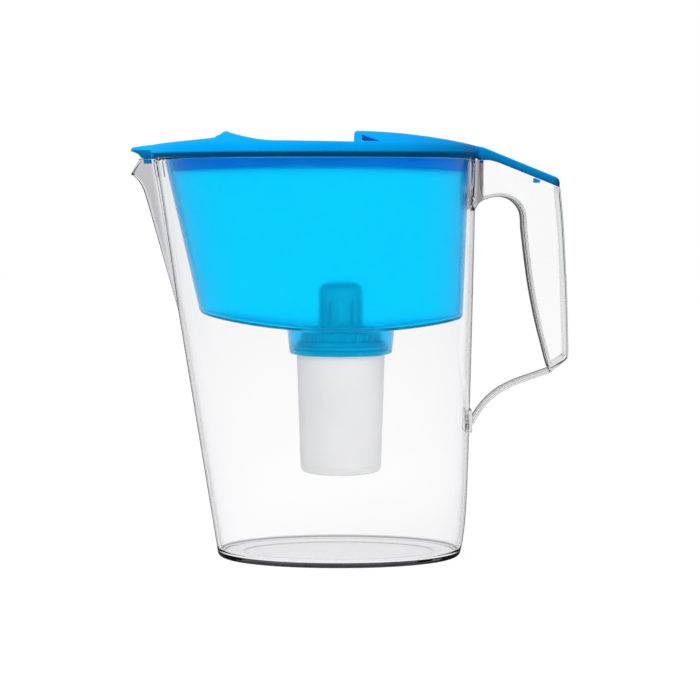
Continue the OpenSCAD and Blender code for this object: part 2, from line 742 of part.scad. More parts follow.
module over_arch_shape() {
    front = front_x(rim_height);
    rear = rear_x(rim_height);
    polygon(concat(
        [[rear, rim_height + far], [front, rim_height + far]],
        [for (k = [0 : 24]) [lerp(front, rear, k / 24),
            skirt_foot_z + skirt_arch * (1 - pow(2 * k / 24 - 1, 2))]]));
}

module plug_skirt() {
    intersection() {
        translate([0, 0, skirt_foot_z - bite])
            linear_extrude(far) difference() {
                skirt_plan(0);
                skirt_plan(skirt_wall);
            }
        slab(far) intersection() {
            over_arch_shape();
            offset(delta = -lid_wall / 2) under_top_shape();
        }
    }
}

// The hinge of the flap
hinge_x = hood_front - 1.4 - barrel_radius;
flap_top_z = land_z - 1.4;
hinge_z = flap_top_z - flap_thickness / 2;

module along_y(x, z, radius, half) {
    translate([x, half, z])
        rotate([90, 0, 0]) cylinder(r = radius, h = 2 * half, $fn = round_fn / 2);
}

// A three-cornered window low down on each side of the hood
module hood_window(side) {
    translate([0, side > 0 ? dish_half + lid_wall + 1 : -dish_half - lid_wall - 1 - far, 0])
        translate([0, far, 0]) rotate([90, 0, 0]) linear_extrude(far)
            polygon([[hood_front + 4.5, land_z], [hood_front + 15, land_z],
                     [hood_front + 4.5, land_z + 3.7]]);
}

// Pegs that keep the lid in place: in the spout, behind the rim and in the grip
module lid_pegs() {
    peg_foot = rim_height - peg_depth;
    peg_height = peg_depth + tip_height + 0.2;
    translate([front_x(rim_height) - 5.2, -4.5, peg_foot])
        cube([4.3, 9, peg_height]);
    translate([rear_reach + root_wall + seat_gap, -6, peg_foot])
        cube([lid_wall, 12, peg_height]);
    translate([tongue_end - 15, -4, tongue_z(tongue_end - 13) - tongue_depth - peg_depth])
        cube([3.7, 8, tongue_depth + peg_depth - 0.8]);
}

module lid() {
    color(blue_colour)
    difference() {
        union() {
            difference() {
                intersection() {
                    union() {
                        lid_bowl(side_rings);
                        beak(0);
                        tongue(0);
                    }
                    slab(far / 2) intersection() {
                        under_top_shape();
                        over_foot_shape();
                    }
                }
                difference() {
                    intersection() {
                        union() {
                            lid_bowl(hollow_rings);
                            translate([lid_wall / 2, 0, 0]) beak(lid_wall);
                            tongue(lid_wall);
                        }
                        slab(far / 2) offset(delta = -lid_wall) under_top_shape();
                    }
                    dish(-lid_wall, dish_floor_z - lid_wall);
                }
            }
            plug_skirt();
            lid_pegs();
        }
        dish(0, dish_floor_z);
        fill_hole();
        along_y(hinge_x, hinge_z, pin_radius + pin_clearance, dish_half + lid_wall + bite);
        hood_window(1);
        hood_window(-1);
    }
}

// ---- Flap ----
module flap_plate(inset, from, height) {
    translate([0, 0, from])
        linear_extrude(height) polygon(dish_outline(inset));
}

module flap() {
    rib_inset = side_fit + 2;
    color(blue_colour)
    union() {
        difference() {
            flap_plate(side_fit, flap_top_z - flap_thickness, flap_thickness);
            translate([hinge_x, -far / 2, flap_top_z - far / 2]) cube([far, far, far]);
        }
        difference() {
            flap_plate(rib_inset, flap_top_z - flap_thickness - flap_rib, flap_rib + bite);
            flap_plate(rib_inset + 1.6, flap_top_z - far / 2, far / 2 - flap_thickness);
            translate([hinge_x - 6, -far / 2, flap_top_z - far / 2]) cube([far, far, far]);
        }
        along_y(hinge_x, hinge_z, barrel_radius, dish_half - side_fit);
        along_y(hinge_x, hinge_z, pin_radius, dish_half - side_fit + pin_length);
        translate([-dish_front + side_fit + 2, 0, flap_top_z - bite])
            slab(tab_half) polygon([[0, 0], [6, 0], [4.4, tab_height * 0.5 + bite],
                                    [2.6, tab_height + bite], [1.2, tab_height + bite]]);
    }
}

// ---- Cartridge ----
seal_z = socket_foot_z + socket_wall + seat_gap;
collar_z = seal_z + seal_thickness;
collar_top = collar_z + collar_thickness;
body_foot_z = socket_foot_z - body_length;
base_z = body_foot_z - base_ring_height;
cap_z = collar_top;
grip_z0 = cap_z + cap_rim;
grip_top = grip_z0 + grip_height;
dome_top = grip_top + dome_height;
base_plate = 1.6;

function body_outer(z) = lerp(body_foot_radius, body_radius, (z - body_foot_z) / body_length);

module turned(points) {
    translate([cartridge_x, 0, 0])
        rotate_extrude($fn = round_fn) polygon(points);
}

module cartridge_body() {
    color(white_colour)
    turned([
        [body_foot_radius, body_foot_z],
        [body_radius, socket_foot_z],
        [body_radius, collar_z],
        [collar_radius, collar_z],
        [collar_radius, collar_top],
        [body_radius - body_wall, collar_top],
        [body_radius - body_wall, socket_foot_z],
        [body_foot_radius - body_wall, body_foot_z]]);
}

module cartridge_base() {
    plug = body_foot_radius - body_wall;
    slot_margin = 4;
    color(white_colour)
    difference() {
        turned([
            [0, base_z],
            [body_foot_radius - 1.8, base_z],
            [body_foot_radius - 1, base_z + 0.5],
            [body_foot_radius - 0.6, base_z + 1.4],
            [body_foot_radius, body_foot_z],
            [plug, body_foot_z],
            [plug, body_foot_z + 2.6],
            [plug - 1.4, body_foot_z + 2.6],
            [plug - 1.4, base_z + base_plate],
            [0, base_z + base_plate]]);
        translate([cartridge_x, 0, base_z - bite])
            for (k = [0 : 11]) rotate(30 * k)
                translate([slot_start, -slot_width / 2, 0])
                    cube([plug - slot_margin - slot_start, slot_width, base_plate + 2 * bite]);
    }
}

module cartridge_seal() {
    color(seal_colour)
    turned([
        [body_radius, seal_z],
        [collar_radius, seal_z],
        [collar_radius, collar_z],
        [body_radius, collar_z]]);
}

module cartridge_cap() {
    wall = body_wall;
    color(white_colour)
    difference() {
        union() {
            turned([
                [body_radius - body_wall, cap_z - 3],
                [body_radius - body_wall, cap_z],
                [body_radius, cap_z],
                [body_radius, grip_z0],
                [grip_radius - 0.8, grip_z0],
                [grip_radius - 0.8, grip_top],
                [dome_radius, grip_top + 0.6],
                for (angle = [0 : 15 : 90])
                    [dome_radius - 5 + 5 * cos(angle), dome_top - 5 + 5 * sin(angle)],
                [0, dome_top],
                [0, dome_top - wall],
                [dome_radius - 5, dome_top - wall],
                [dome_radius - wall, dome_top - 5],
                [dome_radius - wall, grip_top - wall],
                [grip_radius - 0.8 - wall, grip_top - wall],
                [grip_radius - 0.8 - wall, cap_z - 3]]);
            translate([cartridge_x, 0, 0])
                for (k = [0 : grip_ribs - 1]) rotate(360 * k / grip_ribs)
                    translate([grip_radius - 1.6, -0.6, grip_z0]) cube([1.6, 1.2, grip_height - 0.6]);
        }
        translate([cartridge_x, 0, 0])
            for (k = [0 : intake_slots - 1]) rotate(360 * k / intake_slots)
                translate([dome_radius - wall - 1, -slot_width / 2, grip_top + 4])
                    cube([wall + 2, slot_width, dome_height - 14]);
    }
}

mesh_radius = body_foot_radius - body_wall - 1.4;
outlet_z = base_z + base_plate;
bed_foot_z = outlet_z + mesh_thickness;
bed_top_z = cap_z - 3 - mesh_thickness;
bed_split_z = lerp(bed_top_z, bed_foot_z, carbon_share);

module outlet_mesh() {
    color(mesh_colour)
    translate([cartridge_x, 0, outlet_z])
        cylinder(r = mesh_radius, h = mesh_thickness, $fn = round_fn);
}

module inlet_mesh() {
    color(mesh_colour)
    translate([cartridge_x, 0, bed_top_z])
        cylinder(r = body_radius - body_wall, h = mesh_thickness, $fn = round_fn);
}

function bed_radius(z) = z < body_foot_z + 2.6 ? mesh_radius
    : min(body_outer(z), body_radius) - body_wall;

module resin_bed() {
    step_z = body_foot_z + 2.6;
    color(resin_colour)
    turned([
        [0, bed_foot_z],
        [mesh_radius, bed_foot_z],
        [mesh_radius, step_z],
        [body_outer(step_z) - body_wall, step_z],
        [bed_radius(bed_split_z), bed_split_z],
        [0, bed_split_z]]);
}

module carbon_bed() {
    color(carbon_colour)
    turned([
        [0, bed_split_z],
        [bed_radius(bed_split_z), bed_split_z],
        [body_radius - body_wall, socket_foot_z],
        [body_radius - body_wall, bed_top_z],
        [0, bed_top_z]]);
}

jug();
handle();
reservoir();
lid();
flap();
cartridge_body();
cartridge_cap();
cartridge_base();
cartridge_seal();
inlet_mesh();
carbon_bed();
resin_bed();
outlet_mesh();
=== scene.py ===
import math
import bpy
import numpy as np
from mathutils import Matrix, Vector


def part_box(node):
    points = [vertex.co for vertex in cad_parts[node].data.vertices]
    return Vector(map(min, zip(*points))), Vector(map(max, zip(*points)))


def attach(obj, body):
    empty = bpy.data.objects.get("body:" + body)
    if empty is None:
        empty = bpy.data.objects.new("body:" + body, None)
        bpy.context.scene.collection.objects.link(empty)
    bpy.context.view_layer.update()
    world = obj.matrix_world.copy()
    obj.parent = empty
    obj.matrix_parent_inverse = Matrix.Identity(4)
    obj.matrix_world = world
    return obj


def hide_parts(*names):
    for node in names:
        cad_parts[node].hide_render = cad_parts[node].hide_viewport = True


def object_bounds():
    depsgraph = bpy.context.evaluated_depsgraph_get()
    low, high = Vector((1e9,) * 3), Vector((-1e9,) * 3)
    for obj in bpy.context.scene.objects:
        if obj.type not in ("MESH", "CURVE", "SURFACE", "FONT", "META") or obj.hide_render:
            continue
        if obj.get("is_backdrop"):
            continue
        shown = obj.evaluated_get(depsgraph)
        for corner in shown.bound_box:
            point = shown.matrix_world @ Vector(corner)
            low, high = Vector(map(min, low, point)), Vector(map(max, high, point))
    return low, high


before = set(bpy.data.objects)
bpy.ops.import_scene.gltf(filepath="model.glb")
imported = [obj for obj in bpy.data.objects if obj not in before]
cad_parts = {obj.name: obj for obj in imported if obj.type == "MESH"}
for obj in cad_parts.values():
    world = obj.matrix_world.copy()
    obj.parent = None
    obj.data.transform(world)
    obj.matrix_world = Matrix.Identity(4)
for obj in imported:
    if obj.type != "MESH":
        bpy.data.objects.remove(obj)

# %% [markdown]
# # A water filter pitcher with a flip lid
# The imported frame holds the solids: a clear jug, a reservoir that hangs in it, a lid, a
# flap and a filter cartridge. Here they get the smooth surfaces and the plastics of the
# real object. First the sizes of the frame are kept, to be printed beside the model's at the end.

frame_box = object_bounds()
MM = 0.001
for name in sorted(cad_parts):
    low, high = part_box(name)
    print(name, "is", [round(side / MM, 1) for side in high - low], "mm")

# %% [markdown]
# ## The camera
# The photograph looks at the pitcher's side from a little over a metre away, from just
# under the height of the lid. A long lens keeps the perspective weak, and a tilt of less
# than five degrees brings the whole pitcher into the middle of the square picture.

# %% The camera
LENS_PIXELS, FRAME_PIXELS, SENSOR = 1793.9, 700, 36
TILT = 4.796
lens = bpy.data.cameras.new("camera")
camera = bpy.data.objects.new("camera", lens)
bpy.context.scene.collection.objects.link(camera)
camera.location = (6.4 * MM, -1090 * MM, 217.5 * MM)
camera.rotation_euler = (math.radians(90 - TILT), 0, 0)
lens.sensor_width = SENSOR
lens.lens = LENS_PIXELS / FRAME_PIXELS * SENSOR
lens.clip_start, lens.clip_end = 0.01, 100
bpy.context.scene.camera = camera
print("lens", round(lens.lens, 1), "mm")

# %% [markdown]
# ## Tools for shapes
# Most pieces here are shells whose outline changes with height. By hand one would add a
# circle and extrude it ring by ring, with a move and a scale each time, and that is what
# `ring_stack` does. The jug, the reservoir and the lid have edges that wander over the
# wall, such as the folds of the spout. No scaled ring follows those, so `skin` takes a
# grid and puts its points where a formula says.

# %% Helpers for shapes
def clear_selection():
    """Nothing is selected, so that the next operator acts on the new piece alone."""
    if bpy.context.object and bpy.context.object.mode != "OBJECT":
        bpy.ops.object.mode_set(mode="OBJECT")
    bpy.ops.object.select_all(action="DESELECT")


def named(name):
    piece = bpy.context.object
    piece.name = piece.data.name = name
    return piece


def activate(piece):
    clear_selection()
    piece.select_set(True)
    bpy.context.view_layer.objects.active = piece


def edit(piece, mode="VERT"):
    activate(piece)
    bpy.ops.object.mode_set(mode="EDIT")
    bpy.ops.mesh.select_mode(type=mode)
    bpy.ops.mesh.select_all(action="SELECT")


def tidy(piece, merge=0.004 * MM):
    """Seams are merged and faces turned outwards."""
    edit(piece)
    bpy.ops.mesh.remove_doubles(threshold=merge)
    bpy.ops.mesh.normals_make_consistent(inside=False)
    bpy.ops.object.mode_set(mode="OBJECT")


def smooth(piece, angle=32):
    activate(piece)
    bpy.ops.object.shade_smooth_by_angle(angle=math.radians(angle), keep_sharp_edges=False)
    return piece


def fill_ends(piece):
    """Open ends get a flat face."""
    edit(piece)
    bpy.ops.mesh.select_all(action="DESELECT")
    bpy.ops.mesh.select_non_manifold(extend=False, use_wire=False, use_multi_face=False,
                                     use_non_contiguous=False, use_verts=False)
    bpy.ops.mesh.fill_holes(sides=0)
    bpy.ops.object.mode_set(mode="OBJECT")


def place_points(piece, points):
    """Points in millimetres, in the order of the mesh's vertices."""
    points = np.asarray(points, float) * MM
    piece.data.vertices.foreach_set("co", points.astype(np.float32).ravel())
    piece.data.update()


def ring_stack(name, rings, around=128, join_ends=False, centre=0.0):
    """A circle extruded from ring to ring. A ring is (radius, z) in millimetres."""
    clear_selection()
    radius, z = rings[0]
    bpy.ops.mesh.primitive_circle_add(
        vertices=around, radius=radius * MM, location=(centre * MM, 0, z * MM))
    piece = named(name)
    bpy.ops.object.transform_apply(location=True, rotation=True, scale=True)
    edit(piece, "EDGE")
    for next_radius, next_z in rings[1:]:
        bpy.ops.mesh.extrude_edges_move(
            TRANSFORM_OT_translate={"value": (0, 0, (next_z - z) * MM)})
        scale = next_radius / radius
        bpy.ops.transform.resize(
            value=(scale, scale, 1), center_override=(centre * MM, 0, next_z * MM))
        radius, z = next_radius, next_z
    bpy.ops.object.mode_set(mode="OBJECT")
    if join_ends:
        edit(piece, "EDGE")
        bpy.ops.mesh.select_all(action="DESELECT")
        bpy.ops.mesh.select_non_manifold()
        bpy.ops.mesh.bridge_edge_loops()
        bpy.ops.object.mode_set(mode="OBJECT")
    else:
        fill_ends(piece)
    tidy(piece)
    return piece


def skin(name, rows, loop_rows=False, loop_columns=True):
    """A grid whose points are set row by row. rows is an array of (row, column, xyz) in mm."""
    rows = np.asarray(rows, float)
    if loop_columns:
        rows = np.concatenate([rows, rows[:, :1]], axis=1)
    if loop_rows:
        rows = np.concatenate([rows, rows[:1]], axis=0)
    clear_selection()
    bpy.ops.mesh.primitive_grid_add(
        x_subdivisions=rows.shape[1] - 1, y_subdivisions=rows.shape[0] - 1, size=1)
    piece = named(name)
    place_points(piece, rows)
    tidy(piece)
    if not loop_rows:
        fill_ends(piece)
        tidy(piece)
    return piece


def block(name, low, high, bevel=0.3, segments=2):
    """A cube stretched between two corners in mm, with its edges rounded."""
    low, high = np.array(low, float), np.array(high, float)
    clear_selection()
    bpy.ops.mesh.primitive_cube_add(size=1)
    piece = named(name)
    corners = np.array([v.co for v in piece.data.vertices])
    place_points(piece, (low + high) / 2 + corners * (high - low))
    modify(piece, "BEVEL", width=bevel * MM, segments=segments, limit_method="NONE")
    return piece


def modify(piece, kind, **settings):
    """A modifier with its settings, applied at once."""
    activate(piece)
    modifier = piece.modifiers.new(kind.lower(), kind)
    for key, value in settings.items():
        setattr(modifier, key, value)
    bpy.ops.object.modifier_apply(modifier=modifier.name)
    return piece


def cut(piece, cutter, operation="DIFFERENCE", keep=False):
    modify(piece, "BOOLEAN", object=cutter, operation=operation, solver="EXACT")
    if not keep:
        bpy.data.objects.remove(cutter)
    return piece


def joined(name, pieces):
    """Several closed shapes become one piece."""
    clear_selection()
    for piece in pieces:
        piece.select_set(True)
    bpy.context.view_layer.objects.active = pieces[0]
    bpy.ops.object.join()
    return named(name)


def dress(piece, body, slot_name, *nodes):
    """The piece rides on its body and stands for its solids in the frame."""
    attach(piece, body)
    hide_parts(*nodes)
    print(piece.name, len(piece.data.polygons), "faces")
    return piece


# %% [markdown]
# ## The jug's wall
# The wall is an oval that leans forward in front and hardly at all behind. Its size at
# each height comes from a few lengths, the same as in the frame. The spout is a fold in
# the front of the oval that stands out further the higher it is, with a short flare under
# the lip and a mouth that is cut off on a slant.

# %% The oval and the spout, as functions of height
RIM = 242
BASE_FRONT, LEAN = 74.5, 0.156
REAR, REAR_TAPER, REAR_TUCK = 82.4, 5, 3.8
SIDE, SIDE_TAPER, SIDE_TUCK = 52, 5.4, 2
TUCK_HEIGHT, TAPER_BEND, SQUARENESS = 14, 1.2, 2.1
SPOUT_START, SPOUT_REACH, LIP_DROP, MOUTH_RUN = 149.4, 15.1, 9, 6.1
SPOUT_RISE, FLARE_HEIGHT, FOLD_POWER = 8.4, 14.6, 1.7
SPOUT_START_HALF, SPOUT_RIM_HALF = 5, 11.5
JUG_WALL, JUG_FLOOR = 2.2, 2.8
LIP = RIM - LIP_DROP
FLARE_START = LIP - FLARE_HEIGHT


def front_x(z):
    return -BASE_FRONT - LEAN * z


def drawn_in(z):
    return np.power(np.maximum(0, RIM - z) / RIM, TAPER_BEND)


def rear_x(z):
    return REAR - REAR_TAPER * drawn_in(z) - REAR_TUCK * np.exp(-np.maximum(0, z) / TUCK_HEIGHT)


def side_y(z):
    return SIDE - SIDE_TAPER * drawn_in(z) - SIDE_TUCK * np.exp(-np.maximum(0, z) / TUCK_HEIGHT)


def oval(front, rear, side, angle):
    """Points of an oval a little squarer than an ellipse, at angles round it."""
    bend = 2 / SQUARENESS
    cosine, sine = np.cos(angle), np.sin(angle)
    return ((front + rear) / 2 + (rear - front) / 2 * np.sign(cosine) * np.abs(cosine) ** bend,
            side * np.sign(sine) * np.abs(sine) ** bend)


def oval_half(front, rear, side, x):
    """Half of the oval's width at a place along it."""
    share = np.abs(x - (front + rear) / 2) / ((rear - front) / 2)
    return side * np.maximum(0, 1 - share ** SQUARENESS) ** (1 / SQUARENESS)


LIP_X = front_x(LIP) - SPOUT_REACH
print("the lip stands at", round(LIP_X, 1), "mm, the rear wall at", REAR, "mm")


# %% [markdown]
# A column of points stays on one place of the wall all the way up: most columns divide
# the oval, and the last ones divide the fold, so the two creases beside the spout are
# clean lines of edges.

# %% Rows of points round the jug
def spout_out(z):
    rise = lambda at: SPOUT_RISE * np.maximum(0, at - SPOUT_START) / (FLARE_START - SPOUT_START)
    flare = np.clip((z - FLARE_START) / FLARE_HEIGHT, 0, 1) ** 3
    return rise(z) + (SPOUT_REACH - rise(LIP)) * flare


def fold_half(z, inset):
    part = np.maximum(0, z - SPOUT_START) / (RIM - SPOUT_START)
    half = SPOUT_START_HALF + (SPOUT_RIM_HALF - SPOUT_START_HALF) * np.sqrt(part)
    return half - 0.8 * min(inset, JUG_WALL)


def fold_point(u, z, inset):
    y = u * fold_half(z, inset)
    front, rear, side = front_x(z) + inset, rear_x(z) - inset, side_y(z) - inset
    reach = (rear - front) / 2 * (1 - (np.abs(y) / side) ** SQUARENESS) ** (1 / SQUARENESS)
    return (front + rear) / 2 - reach - spout_out(z) * (1 - np.abs(u) ** FOLD_POWER), y


def mouth_z(u, inset):
    """Height at which the fold meets the slanted plane of the mouth."""
    low, high = np.full_like(u, FLARE_START), np.full_like(u, float(RIM))
    for _ in range(18):
        middle = (low + high) / 2
        above = middle > LIP + (fold_point(u, middle, inset)[0] - LIP_X) * LIP_DROP / MOUTH_RUN
        low, high = np.where(above, low, middle), np.where(above, middle, high)
    return high


def jug_ring(z, inset, drop=0.0, around=160, across=26):
    side = side_y(z) - inset
    crease = math.asin((fold_half(z, inset) / side) ** (SQUARENESS / 2))
    angle = np.linspace(-1, 1, around + 1) * (math.pi - crease)
    x, y = oval(front_x(z) + inset, rear_x(z) - inset, side, angle)
    u = np.linspace(1, -1, across + 1)[1:-1]
    top = mouth_z(u, inset)
    level = z + np.zeros_like(u)
    if z > SPOUT_START:
        level = SPOUT_START + (z - SPOUT_START) * (top - SPOUT_START) / (RIM - SPOUT_START)
    fold_x, fold_y = fold_point(u, level, inset)
    return np.stack([np.r_[x, fold_x], np.r_[y, fold_y], np.r_[x * 0 + z, level] - drop], axis=1)


def turn(steps, first=0.0, last=90.0):
    return np.radians(np.linspace(first, last, steps))


def arc(x, z, radius, steps, first=0.0, last=90.0):
    """Points of a round corner, by its middle, its radius and two angles in degrees."""
    return [(x + radius * math.cos(a), z + radius * math.sin(a))
            for a in turn(steps, first, last)]


# %% [markdown]
# ## The jug
# One closed skin: from the recess under the foot out to the ring that it stands on, round
# the lower edge, up the outside, over the rounded rim and down the inside to the floor.
# The clear plastic shows every one of these surfaces, so none is left out.

# %% The jug's skin
FOOT_ROUND, FLOOR_ROUND, FOOT_RECESS, FOOT_RING = 2, 3, 0.6, 16
RIM_ROUND, RIM_CREST = JUG_WALL / 2, 0.8


def flat_ring(share, z, inset):
    """A ring on a level surface, shrunk towards the middle of the foot."""
    ring = jug_ring(0.0, inset)
    middle = np.array([(front_x(0) + rear_x(0)) / 2, 0, 0])
    ring = middle + (ring - middle) * [share, share, 0]
    ring[:, 2] = z
    return ring


low_z = SPOUT_START * np.linspace(0, 1, 34) ** 1.25
high_z = RIM - (RIM - SPOUT_START) * np.linspace(1, 0, 56) ** 1.15
rows = [flat_ring(share, FOOT_RECESS, FOOT_RING) for share in (0.02, 0.5, 0.97)]
rows += [flat_ring(1, FOOT_RECESS, FOOT_RING), flat_ring(1, 0, FOOT_RING - 0.1)]
rows += [jug_ring(FOOT_ROUND * (1 - math.cos(a)), FOOT_ROUND * (1 - math.sin(a)))
         for a in turn(6)]
rows += [jug_ring(z, 0) for z in low_z if z > FOOT_ROUND + 0.5]
rows += [jug_ring(z, 0) for z in high_z[1:-1]]
rows += [jug_ring(RIM, RIM_ROUND - RIM_ROUND * math.cos(a), drop=RIM_CREST * (1 - math.sin(a)))
         for a in turn(9, 0, 180)]
rows += [jug_ring(z, JUG_WALL) for z in high_z[-2:0:-1]]
rows += [jug_ring(z, JUG_WALL) for z in low_z[::-1] if z > JUG_FLOOR + FLOOR_ROUND + 1]
rows += [jug_ring(JUG_FLOOR + FLOOR_ROUND * (1 - math.cos(a)),
                  JUG_WALL + FLOOR_ROUND * (1 - math.sin(a))) for a in turn(9)[::-1]]
rows += [flat_ring(share, JUG_FLOOR, JUG_WALL + FLOOR_ROUND) for share in (0.8, 0.4, 0.02)]
jug = skin("jug_shell", rows)
smooth(jug, 50)
dress(jug, "jug", "clear_plastic", "jug")

# %% [markdown]
# A plain block in the jug's outline is kept for a while: what joins the jug's wall, such as
# the handle, is cut to fit with it.

# %% The cutter for what joins the wall
wall_cutter = skin("wall_cutter", [jug_ring(z, -0.02) for z in np.r_[low_z[3:], high_z[1:]]])
print("cutter", len(wall_cutter.data.polygons), "faces")

# %% [markdown]
# ## The handle
# A hollow moulding, open at the top under the lid: two flat sides that come closer
# together downwards, joined by a wall behind and by a web that bends over the fingers.
# Its side view and the side view of its hollow are drawn as faces, extruded across and
# narrowed by moving their points. The one, with its edges rounded, is cut with the other.

# %% The handle's side view
HANDLE_REACH, HANDLE_HALF, TOE_HALF, HANDLE_WALL, WEB, ROOT = 55.9, 13.5, 10, 1.8, 1.9, 1.4
ARCH_RADIUS, ARCH_DROP, GRIP_DROP, GRIP_TOE = 13.8, 36.6, 128.4, 9.8
SEAT_GAP, TONGUE_DEPTH = 0.3, 5.8
GRIP_X = REAR + HANDLE_REACH
TONGUE_END, TONGUE_START = GRIP_X - 6.1, REAR + 3.7
ARCH_X, ARCH_Z = REAR + ARCH_RADIUS + SEAT_GAP, RIM - ARCH_DROP
GRIP_Z, TOE_X = RIM - GRIP_DROP, GRIP_X - GRIP_TOE


def tongue_z(x):
    return np.interp(x, [TONGUE_START, TONGUE_END], [RIM + 6.6, RIM - 11.2])


def curve_through(points, per=8):
    """A smooth line through points, by Catmull and Rom's rule."""
    p = np.array(points, float)
    p = np.vstack([2 * p[0] - p[1], p, 2 * p[-1] - p[-2]])
    t = np.linspace(0, 1, per, endpoint=False)[:, None]
    spans = [0.5 * (2 * b + (c - a) * t + (2 * a - 5 * b + 4 * c - d) * t ** 2
                    + (3 * b - a - 3 * c + d) * t ** 3)
             for a, b, c, d in zip(p[:-3], p[1:-2], p[2:-1], p[3:])]
    return np.vstack(spans + [p[-2:-1]])


def palm(out):
    """The fingers' side of the grip, from its closed end up to the arch."""
    low, high = np.array([TOE_X, GRIP_Z]), np.array([ARCH_X + ARCH_RADIUS, ARCH_Z])
    shares = [(0.87, 0.95), (0.7, 0.825), (0.495, 0.665), (0.29, 0.465), (0.14, 0.267),
              (0.02, 0.07)]
    return [tuple(high + (low - high) * share + [out, 0]) for share in shares]


def arch(out, beyond):
    """The arch, round as far as its top. The points beyond it are multiples of its radius."""
    return arc(ARCH_X, ARCH_Z, ARCH_RADIUS + out, 10) + [
        (ARCH_X + ARCH_RADIUS * x, ARCH_Z + ARCH_RADIUS * z) for x, z in beyond]


def back(inset):
    shares = [(4, 0), (2.5, 0.235), (1.2, 0.467), (0.65, 0.63), (0, 0.83)]
    return [(TONGUE_END - inset, tongue_z(TONGUE_END) - TONGUE_DEPTH - SEAT_GAP)] + [
        (GRIP_X - x - inset, ARCH_Z + (GRIP_Z - ARCH_Z) * share) for x, share in shares]


top = [(REAR - 8, RIM - 1 - SEAT_GAP), (REAR + 2, RIM - 0.5 - SEAT_GAP),
       (REAR + 8.2, RIM - 0.9 - SEAT_GAP),
       (REAR + 12.8, tongue_z(REAR + 12.8) - TONGUE_DEPTH + 0.5 - SEAT_GAP)]
side_view = np.vstack([
    top, curve_through(back(0), 4), [(GRIP_X, GRIP_Z + 8.5), (GRIP_X - 1.1, GRIP_Z + 6.7)],
    curve_through([(TOE_X - 0.6, GRIP_Z)] + palm(0) + arch(0, [
        (-0.27, 0.985), (-0.52, 0.92), (-0.74, 0.84), (-0.89, 0.74), (-1, 0.62), (-1.08, 0.48),
        (-1.45, 0.1)]), 4)])
hollow_view = np.vstack([
    [(REAR + ROOT, RIM + 9), (TONGUE_END - HANDLE_WALL, RIM + 9)],
    curve_through(back(HANDLE_WALL), 4), [(GRIP_X - HANDLE_WALL, GRIP_Z + 9.7)],
    curve_through(palm(WEB) + arch(WEB, [(-0.25, 1.12), (-0.49, 1.08), (-0.67, 1.01)]), 4),
    [(REAR + ROOT + x, ARCH_Z + z) for x, z in [(2.6, 13), (1.2, 15.1), (0.3, 18.6), (0, 22.6)]]])
print("side views of", len(side_view), "and", len(hollow_view), "points")


# %% [markdown]
# The prism's corners between its sides and its rounded outline are bevelled, which leaves
# the outline itself as drawn.

# %% The handle's moulding
def prism(name, view, inset, rounding):
    """A side view extruded across, as wide at each height as the handle less the inset."""
    clear_selection()
    bpy.ops.mesh.primitive_circle_add(vertices=len(view), radius=0.05, fill_type="NGON")
    piece = named(name)
    place_points(piece, np.column_stack([view[:, 0], np.full(len(view), -1000), view[:, 1]]))
    edit(piece, "FACE")
    bpy.ops.mesh.extrude_region_move(TRANSFORM_OT_translate={"value": (0, 2, 0)})
    bpy.ops.object.mode_set(mode="OBJECT")
    for vertex in piece.data.vertices:
        half = np.interp(vertex.co.z / MM, [GRIP_Z - 3, RIM + 10], [TOE_HALF, HANDLE_HALF])
        vertex.co.y = math.copysign((half - inset) * MM, vertex.co.y)
    tidy(piece)
    modify(piece, "BEVEL", width=rounding * MM, segments=4, limit_method="ANGLE",
           angle_limit=math.radians(60))
    return piece


handle = prism("handle_moulding", side_view, 0, 1.2)
cut(handle, prism("handle_hollow", hollow_view, HANDLE_WALL, 0.6))
print("handle", len(handle.data.polygons), "faces")

# %% [markdown]
# ## The handle's tail
# A thin strap springs from the grip's toe and curves down to the jug, where it ends in a
# small pad. It is a rounded strip swept along a curve. Tail, pad and grip are merged, and
# everything that would lie in the jug's wall is cut off with the block.

# %% The tail and the pad
TAIL_DROP, TAIL_THICKNESS, TAIL_HALF, PAD_HEIGHT = 159, 2.6, 7, 13.6
PAD_Z = RIM - TAIL_DROP
PAD_X = rear_x(PAD_Z)
tail_a = np.array([TOE_X, GRIP_Z + TAIL_THICKNESS / 2 - 0.6])
tail_b = np.array([PAD_X + 1, PAD_Z - 1.5])
pulls = [tail_a, tail_a - [19, 7.6], tail_b + [12, 24.5], tail_b]
t = np.linspace(0, 1, 40)[:, None]
line = sum(math.comb(3, k) * t ** k * (1 - t) ** (3 - k) * p for k, p in enumerate(pulls))
along = np.gradient(line, axis=0)
along /= np.linalg.norm(along, axis=1)[:, None]
across = np.stack([-along[:, 1], along[:, 0]], axis=1)
corner = TAIL_THICKNESS / 2 - 0.15
section = [point for sy, sz, first in [(1, 1, 0), (-1, 1, 90), (-1, -1, 180), (1, -1, 270)]
           for point in arc(sy * (TAIL_HALF - corner), 0.15 * sz, corner, 5, first, first + 90)]
tail = skin("tail", [[(p[0] + n[0] * w, v, p[1] + n[1] * w) for v, w in section]
                     for p, n in zip(line, across)])
pad = block("pad", (PAD_X - 5, -TAIL_HALF - 1.5, PAD_Z - PAD_HEIGHT / 2),
            (PAD_X + 1.2, TAIL_HALF + 1.5, PAD_Z + PAD_HEIGHT / 2), 0.5, 3)
cut(pad, tail, "UNION")
cut(handle, pad, "UNION")
cut(handle, wall_cutter, keep=True)
tidy(handle)
smooth(handle, 35)
dress(handle, "jug", "clear_plastic", "handle")

# %% [markdown]
# ## The reservoir
# A funnel of translucent blue plastic that hangs by its flange on the jug's rim. Its lower
# edge sags at the sides, its floor slopes to a socket, and the socket's foot carries the
# cartridge. One loop of rows goes down the outside, round the socket's foot and up the
# inside, so the wall has its true thickness everywhere.

